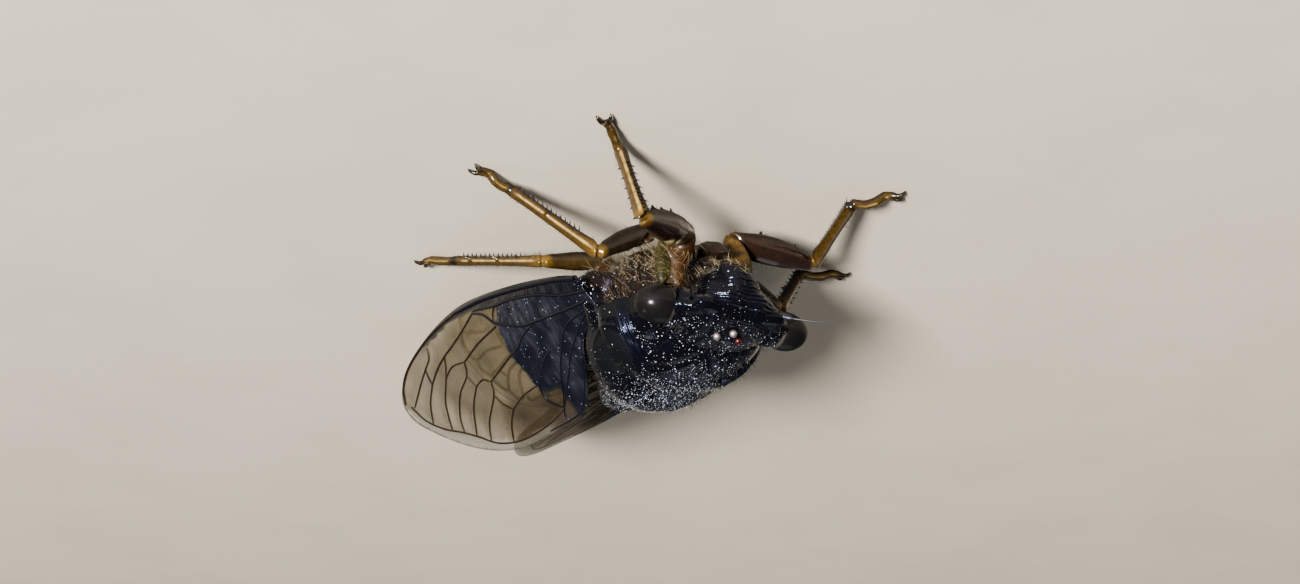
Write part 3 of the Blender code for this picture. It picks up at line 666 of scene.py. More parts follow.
@dataclass(frozen=True)
class Membrane(Finish):
    """Wing film. The attribute sheet holds the distance from the wing's base and from its leading edge."""

    smoke: Colour = (0.0032, 0.0040, 0.0090)
    # painted sheen: lighter streaks along the folds of the dark base
    painted_fold_sheen: Colour = (0.032, 0.034, 0.046)
    clavus: Colour = (0.045, 0.036, 0.026)
    rail: Colour = (0.0035, 0.0042, 0.0080)
    edge: Colour = (0.135, 0.122, 0.10)
    # painted shadow: multiplied into the film toward the trailing corner, where the wing's shadow and the
    # hind wing lie beneath
    painted_shadow: Colour = (0.34, 0.30, 0.25)
    # pale dots sprinkled over the dark base
    pale_dot: Colour = (0.30, 0.34, 0.40)
    stretch: Place = (2.3, 0.9, 1.0)
    relief: float = 0.0003
    film: float = 0.34

    def dress(self, g: Graph, shader: bpy.types.Node) -> None:
        """Makes the base third dark and opaque with painted sheen along its folds, the rest tan and clear
        with painted shadow toward the trailing corner, and the margin pale.

        Args:
            g: the material's graph.
            shader: its Principled shader.
        """
        place = g.add("ShaderNodeTexCoord", output="Object")
        sheet = g.add("ShaderNodeAttribute", attribute_name="sheet", output="Vector")
        names = ("smoke", "rim", "band", "strap", "painted_shadow")
        marks = {name: g.attribute(name) for name in names}
        drawn_out = g.add("ShaderNodeVectorMath", sheet, self.stretch, operation="MULTIPLY")
        folds = g.noise(drawn_out, 1.0, 3.0, 0.55)
        g.tree.links.new(self.tones(g, sheet, marks, folds), shader.inputs["Base Color"])
        g.tree.links.new(self.cover(g, place, marks), shader.inputs["Alpha"])
        height = g.math("MULTIPLY", folds, g.math("MULTIPLY", marks["smoke"], 0.6))
        self.emboss(g, shader, g.math("ADD", g.noise(place, 900.0, 4.0), height), self.relief)

    def tones(self, g: Graph, sheet: bpy.types.NodeSocket, marks: dict[str, bpy.types.NodeSocket],
              folds: bpy.types.NodeSocket) -> bpy.types.NodeSocket:
        """The film's colour, with painted sheen on the dark base and painted shadow toward the trailing
        corner.

        Args:
            g: the material's graph.
            sheet: places on the sheet.
            marks: the film's attributes by name.
            folds: the noise that its folds follow.

        Returns:
            The colour.
        """
        shade = tuple(0.62 * c for c in self.colour)
        tan = Groups.place(g, "mottled", "Colour", Colour=self.colour, Patch=shade, Share=0.7, Size=0.0022)
        # painted shadow multiplied in toward the trailing corner
        tan = g.mix(marks["painted_shadow"], g.mix(marks["rim"], tan, self.edge), self.painted_shadow, "MULTIPLY")
        tan = g.mix(marks["strap"], tan, self.clavus)
        cells = g.step(g.noise(sheet, 0.55, 1.0), 0.42, 0.62)
        # painted sheen: lighter streaks along the dark base's folds and cells
        lit = g.math("MULTIPLY", g.math("MULTIPLY_ADD", g.step(folds, 0.40, 0.70), 0.55, 0.25),
                     g.math("MULTIPLY_ADD", cells, 0.95, 0.1))
        blue = g.mix(lit, self.smoke, self.painted_fold_sheen)
        # sparse pale dots on the dark base
        share = g.math("MULTIPLY", marks["smoke"], 0.07)
        pale_dots = Groups.place(g, "specks", "Mask", Amount=share, Size=0.00012)
        blue = g.mix(pale_dots, blue, self.pale_dot)
        return g.mix(marks["band"], g.mix(marks["smoke"], tan, blue), self.rail)

    def cover(self, g: Graph, place: bpy.types.NodeSocket,
              marks: dict[str, bpy.types.NodeSocket]) -> bpy.types.NodeSocket:
        """How much the film hides, more where it is seen edge on.

        Args:
            g: the material's graph.
            place: Object coordinates.
            marks: the film's attributes by name.

        Returns:
            The alpha.
        """
        cloudy = g.math("MULTIPLY_ADD", g.noise(place, 420.0, 4.0), 0.2, self.film - 0.1)
        clear = g.math("MULTIPLY", cloudy, g.math("SUBTRACT", 1.0, g.math("MULTIPLY", marks["rim"], 0.2)))
        # the film is denser over the strap and under the painted shadow
        thicker = g.math("MULTIPLY", g.math("MAXIMUM", marks["strap"], marks["painted_shadow"]), 0.2)
        dark = g.math("MAXIMUM", g.math("MULTIPLY", marks["smoke"], 0.95), marks["band"])
        alpha = g.math("MAXIMUM", g.math("ADD", clear, thicker), dark)
        facing = g.math("SUBTRACT", 1.0, g.add("ShaderNodeLayerWeight", 0.5, output="Facing"))
        depth = g.math("DIVIDE", 0.75, g.math("MAXIMUM", facing, 0.12))
        return g.math("SUBTRACT", 1.0, g.math("POWER", g.math("SUBTRACT", 1.0, alpha, clamp=True), depth))


@dataclass(frozen=True)
class Floor(Finish):
    """Plain pale floor."""

    def dress(self, g: Graph, shader: bpy.types.Node) -> None:
        """Adds a barely seen mottle."""
        self.mottle(g, shader, darker=0.93, share=0.6, size=0.012)


SHELL = Shell("black_shell", (0.0028, 0.0028, 0.0034), roughness=0.14, coat=0.12, coat_roughness=0.06,
              specular=0.32, specular_tint=(0.54, 0.60, 1.0), bump=0.9)
EYE = EyeGlass("eye_glass", (0.0066, 0.0060, 0.0062), roughness=0.6, coat=0.38,
               coat_roughness=0.2, specular=0.06, bump=0.12)
OCELLUS = Finish("ocellus_red", (0.035, 0.003, 0.002), roughness=0.4, coat=1.0,
                 coat_roughness=0.5, coat_ior=4.0, specular=1.0)
# a duller copy of the red ocellus finish, so that the right ocellus shows no glint as if it lay in shade; the
# three ocelli are alike
UNLIT_OCELLUS = Finish("ocellus_unlit_copy", (0.045, 0.003, 0.002), roughness=0.3, coat=0.4, coat_roughness=0.15)
FOLD = Finish("fold_gloss", (0.0030, 0.0036, 0.0090), roughness=0.26, specular=0.6,
              specular_tint=(0.6, 0.66, 1.0))
LEG = LegShell("leg_amber", roughness=0.28, coat=0.7, coat_roughness=0.1, specular=0.25, bump=0.15)
ANTENNA = Finish("antenna_black", (0.006, 0.006, 0.010), roughness=0.4, coat=0.1)
FILM = Membrane("forewing_film", (0.098, 0.079, 0.045), roughness=0.3, specular=0.25, bump=0.35)
HIND_FILM = Membrane("hindwing_film", (0.14, 0.11, 0.07), roughness=0.3, specular=0.2, film=0.16, bump=0.25)
VEIN = Finish("vein_brown", (0.016, 0.009, 0.005), roughness=0.45, specular=0.25)
HIND_VEIN = Finish("vein_umber", (0.0045, 0.0028, 0.0018), roughness=0.5, specular=0.2)
DARK_VEIN = Finish("vein_black", (0.003, 0.003, 0.006), roughness=0.36, specular=0.3,
                   specular_tint=(0.6, 0.65, 1.0))
SILVER = Finish("hair_silver", (0.62, 0.68, 0.78), roughness=0.35)
GOLD = Finish("hair_gold", (0.45, 0.37, 0.22), roughness=0.35)
RUSSET = Finish("hair_russet", (0.044, 0.027, 0.013), roughness=0.45, specular=0.4)
DARK_HAIR = Finish("hair_dark", (0.03, 0.024, 0.020), roughness=0.45)
FLOOR = Floor("floor_pale", (0.66, 0.595, 0.49), roughness=0.9, specular=0.1)


# Trees that make tubes and coats

def tube_tree() -> bpy.types.NodeTree:
    """Turns edges into tubes: the point attribute radius gives how thick each is.

    Returns:
        The tree, with the inputs Sides and Material.
    """
    tree, g, given, out = group_tree(
        "tubes", "GeometryNodeTree",
        [("Geometry", "NodeSocketGeometry"), ("Sides", "NodeSocketInt", 8),
         ("Material", "NodeSocketMaterial")],
        [("Geometry", "NodeSocketGeometry")])
    curve = g.add("GeometryNodeMeshToCurve", given["Geometry"])
    radius = g.add("GeometryNodeInputNamedAttribute", "radius", data_type="FLOAT")
    ring = g.add("GeometryNodeCurvePrimitiveCircle", given["Sides"], named={"Radius": 1.0})
    tube = g.add("GeometryNodeCurveToMesh", curve, ring, named={"Scale": radius, "Fill Caps": True})
    tube = g.add("GeometryNodeRealizeInstances", tube)
    tube = g.add("GeometryNodeSetShadeSmooth", tube, named={"Shade Smooth": True})
    tube = g.add("GeometryNodeSetMaterial", tube, named={"Material": given["Material"]})
    tree.links.new(tube, out.inputs[0])
    return tree


def hair_blade(g: Graph, given: dict[str, bpy.types.NodeSocket], segments: int) -> bpy.types.NodeSocket:
    """One hair that rises from 0 to 1 along Z, bends and tapers.

    Args:
        g: the coat's graph.
        given: the coat's input sockets by name.
        segments: pieces along the hair.

    Returns:
        The hair's mesh, with three sides.
    """
    reach = g.add("GeometryNodeSplineParameter", output="Factor")
    blade = g.add("GeometryNodeCurvePrimitiveLine", (0.0, 0.0, 0.0), (0.0, 0.0, 1.0))
    blade = g.add("GeometryNodeResampleCurve", blade, named={"Count": segments + 1})
    curl = g.math("MULTIPLY", g.math("POWER", reach, 2.0), given["Bend"])
    offset = g.add("ShaderNodeCombineXYZ", curl, 0.0, 0.0)
    blade = g.add("GeometryNodeSetPosition", blade, named={"Offset": offset})
    taper = g.math("SUBTRACT", 1.05, reach)
    width = g.math("DIVIDE", given["Radius"], given["Length"])
    thick = g.math("MULTIPLY", g.math("POWER", taper, 0.6), width)
    ring = g.add("GeometryNodeCurvePrimitiveCircle", 3, named={"Radius": 1.0})
    return g.add("GeometryNodeCurveToMesh", blade, ring, named={"Scale": thick})


def coat_tree(segments: int) -> bpy.types.NodeTree:
    """Sets hairs on a surface where its point attribute coat allows, along its point attribute lie.

    Args:
        segments: pieces along each hair.

    Returns:
        The tree. Every hair has three sides, so it has three times one more point than segments.
    """
    tree, g, given, out = group_tree(
        "coat", "GeometryNodeTree",
        [("Geometry", "NodeSocketGeometry"), ("Density", "NodeSocketFloat", 10.0),
         ("Length", "NodeSocketFloat", 0.3), ("Radius", "NodeSocketFloat", 0.02),
         ("Rise", "NodeSocketFloat", 0.3), ("Tangle", "NodeSocketFloat", 0.3),
         ("Bend", "NodeSocketFloat", 0.3), ("Seed", "NodeSocketInt", 1), ("Material", "NodeSocketMaterial")],
        [("Geometry", "NodeSocketGeometry")])
    mask = g.add("GeometryNodeInputNamedAttribute", "coat", data_type="FLOAT")
    density = g.math("MULTIPLY", mask, given["Density"])
    spread = g.add("GeometryNodeDistributePointsOnFaces", given["Geometry"],
                   named={"Density": density, "Seed": given["Seed"]}, output="Points")
    normal = spread.node.outputs["Normal"]
    lie = g.add("GeometryNodeInputNamedAttribute", "lie", data_type="FLOAT_VECTOR")
    tangle = g.add("FunctionNodeRandomValue", (-1.0, -1.0, -1.0), (1.0, 1.0, 1.0),
                   named={"Seed": given["Seed"]}, data_type="FLOAT_VECTOR")
    tangle = g.add("ShaderNodeVectorMath", tangle, named={"Scale": given["Tangle"]}, operation="SCALE")
    lifted = g.add("ShaderNodeVectorMath", normal, named={"Scale": given["Rise"]}, operation="SCALE")
    way = g.add("ShaderNodeVectorMath", g.add("ShaderNodeVectorMath", lie, lifted, operation="ADD"), tangle,
                operation="ADD")
    turn = g.add("FunctionNodeAlignRotationToVector", named={"Vector": way}, axis="Z")
    hair = hair_blade(g, given, segments)
    uneven = g.add("FunctionNodeRandomValue", None, None, 0.55, 1.15, output=1, named={"Seed": given["Seed"]},
                   data_type="FLOAT")
    size = g.math("MULTIPLY", uneven, given["Length"])
    hairs = g.add("GeometryNodeInstanceOnPoints", spread,
                  named={"Instance": hair, "Rotation": turn, "Scale": size})
    hairs = g.add("GeometryNodeRealizeInstances", hairs)
    hairs = g.add("GeometryNodeSetShadeSmooth", hairs, named={"Shade Smooth": True})
    hairs = g.add("GeometryNodeSetMaterial", hairs, named={"Material": given["Material"]})
    tree.links.new(hairs, out.inputs[0])
    return tree


def grown(mesh: bpy.types.Mesh, tree: bpy.types.NodeTree, **inputs: object) -> bpy.types.Mesh:
    """The plain mesh that a tree makes of another mesh.

    Args:
        mesh: what the tree starts from, in millimetres.
        tree: the geometry nodes.
        inputs: values for the tree's named inputs.

    Returns:
        The new mesh, in millimetres.
    """
    seat = bpy.data.objects.new("seat", mesh)
    bpy.context.scene.collection.objects.link(seat)
    modifier = seat.modifiers.new("growth", "NODES")
    modifier.node_group = tree
    for item in tree.interface.items_tree:
        if item.item_type == "SOCKET" and item.in_out == "INPUT" and item.name in inputs:
            modifier[item.identifier] = inputs[item.name]
    result = evaluated_mesh(seat)
    bpy.data.objects.remove(seat)
    bpy.data.meshes.remove(mesh)
    return result


def finished(name: str, mesh: bpy.types.Mesh, replaces: Sequence[str] = (),
             material: bpy.types.Material | None = None) -> bpy.types.Object:
    """Makes a mesh in metres a piece of the model.

    Args:
        name: the piece's name.
        mesh: its mesh, in metres.
        replaces: CAD nodes that it stands for.
        material: its material, where the mesh has none yet.

    Returns:
        The piece.
    """
    mesh.name = name
    if material:
        mesh.materials.clear()
        mesh.materials.append(material)
    piece = bpy.data.objects.new(name, mesh)
    bpy.context.scene.collection.objects.link(piece)
    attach(piece, BODY)
    if replaces:
        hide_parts(*replaces)
    log.info("%s: %d faces", name, len(mesh.polygons))
    return piece


def in_metres(mesh: bpy.types.Mesh) -> bpy.types.Mesh:
    """The same mesh with its millimetres turned into metres."""
    mesh.transform(Matrix.Scale(MM, 4))
    return mesh


# Body

@dataclass
class Skin:
    """A smooth skin over several solids that closes the gaps between them."""

    name: str
    nodes: tuple[str, ...]
    slot: str
    voxel: float = 0.1
    swell: float = 0.17
    rounds: int = 22
    extra: Sequence[Shape] = ()
    shape: Shape | None = None

    def build(self) -> Shape:
        """Works out the skin's surface from the solids and the closed shapes that fill it out.

        Returns:
            The surface, which stays the skin's own shape.
        """
        parts = [solid(node) for node in self.nodes] + list(self.extra)
        for part in parts:
            part.push(self.swell)
        shape = remeshed(joined(parts), self.voxel)
        shape.relax(self.rounds)
        shape.push(-self.swell)
        shape.relax(3)
        self.shape = shape
        return shape

    def owners(self) -> np.ndarray:
        """For each point of the skin, the number of the solid beneath it."""
        return nearest_parts(self.shape.points, [solid(node) for node in self.nodes])

    def finish(self, look: Finish) -> bpy.types.Object:
        """Makes the skin a piece of the model."""
        return finished(self.name, self.shape.mesh(self.name, MM), self.nodes, look.material())


@dataclass
class Fur:
    """Hair over a skin."""

    name: str
    slot: str
    finish: Finish
    density: float
    length: float
    radius: float
    rise: float
    tangle: float
    bend: float = 0.3
    segments: int = 3
    seed: int = 1
    patch: float = 0.003
    used: float = 0.99

    def grow(self, shape: Shape, coat: np.ndarray, lie: np.ndarray) -> bpy.types.Object:
        """Grows the hair.

        Args:
            shape: the skin.
            coat: how dense the hair is at each point, 0 to 1.
            lie: the way that it lies at each point.

        Returns:
            The piece, with each hair a small patch of the UV map OFBake at its root's place.
        """
        skin = Shape(shape.points, shape.faces, {"coat": coat, "lie": lie})
        mesh = grown(skin.mesh(self.name), coat_tree(self.segments), Density=self.density, Length=self.length,
                     Radius=self.radius, Rise=self.rise, Tangle=self.tangle, Bend=self.bend, Seed=self.seed,
                     Material=self.finish.material())
        self.unwrap(mesh, shape)
        return finished(self.name, in_metres(mesh))

    def unwrap(self, mesh: bpy.types.Mesh, shape: Shape) -> None:
        """Gives each hair its patch on an unwrap of the skin round its long axis.

        Args:
            mesh: the hair.
            shape: the skin that it grows on.
        """
        count = 3 * (self.segments + 1)
        points = np.empty(len(mesh.vertices) * 3)
        mesh.vertices.foreach_get("co", points)
        roots = points.reshape(-1, count, 3)[:, :3].mean(1)
        low, high = shape.points.min(0), shape.points.max(0)
        across = roots - (low + high) / 2
        u = np.arctan2(across[:, 2], across[:, 0]) / (2 * pi) + 0.5
        v = (roots[:, 1] - low[1]) / (high[1] - low[1])
        corners = np.empty(len(mesh.loops), np.int32)
        mesh.loops.foreach_get("vertex_index", corners)
        hair, part = corners // count, corners % count
        patch = np.stack((part % 3 / 3, part // 3 / self.segments), 1) * self.patch
        places = np.stack((u[hair], v[hair]), 1) * self.used + patch
        mesh.uv_layers.new(name="OFBake").data.foreach_set("uv", places.astype(np.float32).ravel())


def blob(x: float, y: float, z: float, radii: Sequence[float]) -> Shape:
    """An ellipsoid at a place given from the midline, face and floor."""
    return ellipsoid(at(x, y, z), radii, 24, 16)


def near_line(x: np.ndarray, y: np.ndarray, line: Sequence[tuple[float, float]], width: float) -> np.ndarray:
    """How close points are to a line seen from above, on either side of the midline.

    Args:
        x: distances from the midline.
        y: distances behind the face.
        line: places that the line runs through.
        width: how far it reaches.

    Returns:
        1 on the line, falling to 0 a width away.
    """
    marks = curve_through(line, 0.05)
    gap = np.full(len(x), np.inf)
    for mark in marks:
        gap = np.minimum(gap, np.hypot(np.abs(x) - mark[0], y - mark[1]))
    return ramp(width - gap, 0.0, width)


def lie_along(shape: Shape, way: Sequence[float]) -> np.ndarray:
    """A direction laid flat on the surface at each point."""
    normals = shape.normals()
    flat = np.array(way) - normals * (normals @ np.array(way))[:, None]
    return flat / np.maximum(np.linalg.norm(flat, axis=1, keepdims=True), 1e-6)


@dataclass
class Head:
    """Head capsule with its swollen ridged face, eyes, ocelli and feelers."""

    ridges: int = 15
    ridged_height: float = 3.2
    ridge_depth: float = 0.05
    crease_depth: float = 0.05
    midline_crease: Line = ((0.0, 1.0), (0.0, 2.2), (0.0, 3.6))
    side_crease: Line = ((1.3, 1.0), (1.0, 2.2), (1.2, 3.4))
    eye_centre: Place = (3.55, 2.62, 7.8)
    eye_radii: Place = (1.26, 1.04, 0.98)
    eye_rim: float = 3.20
    socket_centre: Place = (2.6, 2.56, 7.76)
    socket_radii: Place = (0.90, 1.13, 1.05)
    ocelli: tuple[Place, ...] = ((0.03, 1.45, 9.05), (0.6, 2.08, 9.08), (-0.62, 2.12, 9.07))
    ocellus_radius: float = 0.2
    ledges: tuple[Place, ...] = ((2.95, 1.78, 7.98), (2.65, 1.62, 8.02), (2.35, 1.46, 8.05),
                                 (2.05, 1.32, 8.10))
    ledge_radius: float = 0.37
    antenna_root: Place = (2.2, 0.75, 7.9)
    antenna_length: float = 2.4
    antenna_marks: tuple[float, ...] = (0.0, 0.12, 0.14, 0.26, 0.3, 0.55, 1.0)
    antenna_radii: tuple[float, ...] = (0.2, 0.19, 0.13, 0.12, 0.05, 0.035, 0.018)

    def build(self) -> None:
        """Makes every piece of the head."""
        self.capsule()
        for word, side in SIDES:
            self.eye(word, side)
            self.antenna(word, side)
        self.simple_eyes()

    def capsule(self) -> None:
        """The head's skin and its hair."""
        _, behind, up = self.socket_centre
        sockets = [blob(side * self.socket_centre[0], behind, up, self.socket_radii) for _, side in SIDES]
        ledges = [blob(side * x, y, z, (self.ledge_radius,) * 3) for _, side in SIDES
                  for x, y, z in self.ledges]
        skin = Skin("head_skin", ("head",), "body_black", voxel=0.06, swell=0.0, rounds=14,
                    extra=sockets + ledges)
        shape = skin.build()
        x, y, z = body_axes(shape.points)
        normals = shape.normals()
        top = ramp(normals[:, 2], -0.1, 0.5)
        marks = [self.ocelli[0][:2], self.ocelli[1][:2], self.ocelli[1][:2]]
        ring = near_line(x, y, marks, 0.5)
        ledge = ramp(np.abs(x), 1.2, 1.6) * ramp(1.9 - y, 0.0, 0.5)
        self.relief(shape, normals)
        shape.values["brown"] = ramp(6.0 - z, 0.0, 0.8)
        shape.values["wrinkle"] = 0.25 * ramp(y, 0.6, 1.5) * top
        shape.values["fold"] = y
        shape.values["dull"] = np.zeros(len(x))
        shape.values["bloom"] = (0.03 + 0.2 * top * ramp(y, 0.6, 2.0)) * (1 - 0.9 * ring) * (1 - 0.8 * ledge)
        shape.values["pale"] = np.zeros(len(x))
        skin.finish(SHELL)
        back = lie_along(shape, (0.0, 0.8, -0.4))
        Fur("head_bloom", "body_black", SILVER, density=3.5, length=0.09, radius=0.010, rise=0.35, tangle=0.9,
            seed=3, segments=2).grow(shape, (0.1 + 0.9 * top) * (1 - ring) * (1 - ledge), back)
        Fur("head_beard", "body_black", GOLD, density=10.0, length=0.42, radius=0.008, rise=0.5, tangle=1.1,
            bend=1.0, seed=4).grow(shape, ramp(6.3 - z, 0.0, 0.6), lie_along(shape, (0.0, -0.4, -0.9)))
        Fur("head_bristles", "body_black", DARK_HAIR, density=7.0, length=0.4, radius=0.009, rise=2.0,
            tangle=0.5, seed=5).grow(shape, 0.3 + 0.7 * top, back)

    def relief(self, shape: Shape, normals: np.ndarray) -> None:
        """Ridges the face, creases the crown and draws the head's back edge in under the collar.

        Args:
            shape: the head's skin.
            normals: its normals before any of this.
        """
        x, y, z = body_axes(shape.points)
        front = ramp(-normals[:, 1], 0.15, 0.5) * ramp(2.1 - np.abs(x), 0.0, 0.6) * ramp(8.35 - z, 0.0, 0.4)
        furrow = np.cos(2 * pi * (z + 0.10 * np.abs(x)) * self.ridges / self.ridged_height)
        groove = ramp(0.2 - np.abs(x), 0.0, 0.2)
        shape.push(front * self.ridge_depth * (furrow - 1.4 * groove))
        crease = near_line(x, y, self.midline_crease, 0.16)
        crease += near_line(x, y, self.side_crease, 0.22)
        shape.push(-self.crease_depth * crease * ramp(normals[:, 2], 0.2, 0.7))
        shape.points[:, 1] += 0.35 * ramp(y, 3.1, 3.6)

    def eye(self, word: str, side: int) -> None:
        """One compound eye.

        Args:
            word: left or right.
            side: 1 for the left eye, -1 for the right.
        """
        shape = ellipsoid(at(side * self.eye_centre[0], *self.eye_centre[1:]), self.eye_radii, 72, 48)
        inner = (shape.points[:, 0] - MIDLINE) * side
        shape.values["rim"] = 0.35 * ramp(self.eye_rim - inner, 0.0, 0.05)
        finished("eye_glass_" + word, shape.mesh("eye", MM), ("eye_" + word,), EYE.material())

    def simple_eyes(self) -> None:
        """The three simple eyes on the crown: two catch the light, and the right one takes a duller copy of
        their finish, so that it shows no glint as if in shade, only its red.
        """
        bright, dim = self.ocelli[:2], self.ocelli[2:]
        for name, places, look in (("ocelli", bright, OCELLUS), ("ocellus_right", dim, UNLIT_OCELLUS)):
            shape = joined([ellipsoid(at(*place), (self.ocellus_radius,) * 3, 24, 16) for place in places])
            finished(name, shape.mesh(name, MM), material=look.material())

    def antenna(self, word: str, side: int) -> None:
        """One feeler: two thick joints and a bristle.

        Args:
            word: left or right.
            side: 1 for the left feeler, -1 for the right.
        """
        u = np.linspace(0.0, 1.0, 25)
        reach = np.stack((side * (0.62 * u + 0.22 * u**2), -0.62 * u, 0.30 * u - 0.10 * u**2), 1)
        points = at(side * self.antenna_root[0], *self.antenna_root[1:]) + reach * self.antenna_length
        radii = np.interp(u, self.antenna_marks, self.antenna_radii)
        tubes(f"feeler_{word}", [(points, radii)], ANTENNA, ("antenna_" + word,), sides=10)


def tubes(name: str, paths: Sequence[tuple[np.ndarray, np.ndarray]], finish: Finish,
          replaces: Sequence[str] = (), sides: int = 8) -> bpy.types.Object:
    """Tubes along paths as one piece.

    Args:
        name: the piece's name.
        paths: points and radii of each tube.
        finish: the tubes' finish.
        replaces: CAD nodes that the piece stands for.
        sides: faces round each tube.

    Returns:
        The piece.
    """
    mesh = bpy.data.meshes.new(name)
    starts = np.cumsum([0] + [len(points) for points, _ in paths])
    edges = [(start + i, start + i + 1) for start, (points, _) in zip(starts, paths)
             for i in range(len(points) - 1)]
    mesh.from_pydata(np.vstack([points for points, _ in paths]).tolist(), edges, [])
    radius = np.concatenate([np.broadcast_to(radii, len(points)) for points, radii in paths])
    mesh.attributes.new("radius", "FLOAT", "POINT").data.foreach_set("value", radius.astype(np.float32))
    result = grown(mesh, tube_tree(), Sides=sides, Material=finish.material())
    return finished(name, in_metres(result), replaces)


@dataclass
class Regions:
    """Where each point of the trunk's skin lies, and how far it belongs to each region."""

    side: np.ndarray
    y: np.ndarray
    z: np.ndarray
    normals: np.ndarray
    plate: np.ndarray
    below: np.ndarray
    tail: np.ndarray
    top: np.ndarray
    lobe: np.ndarray
    bare: np.ndarray
    fold: np.ndarray
    bald: np.ndarray


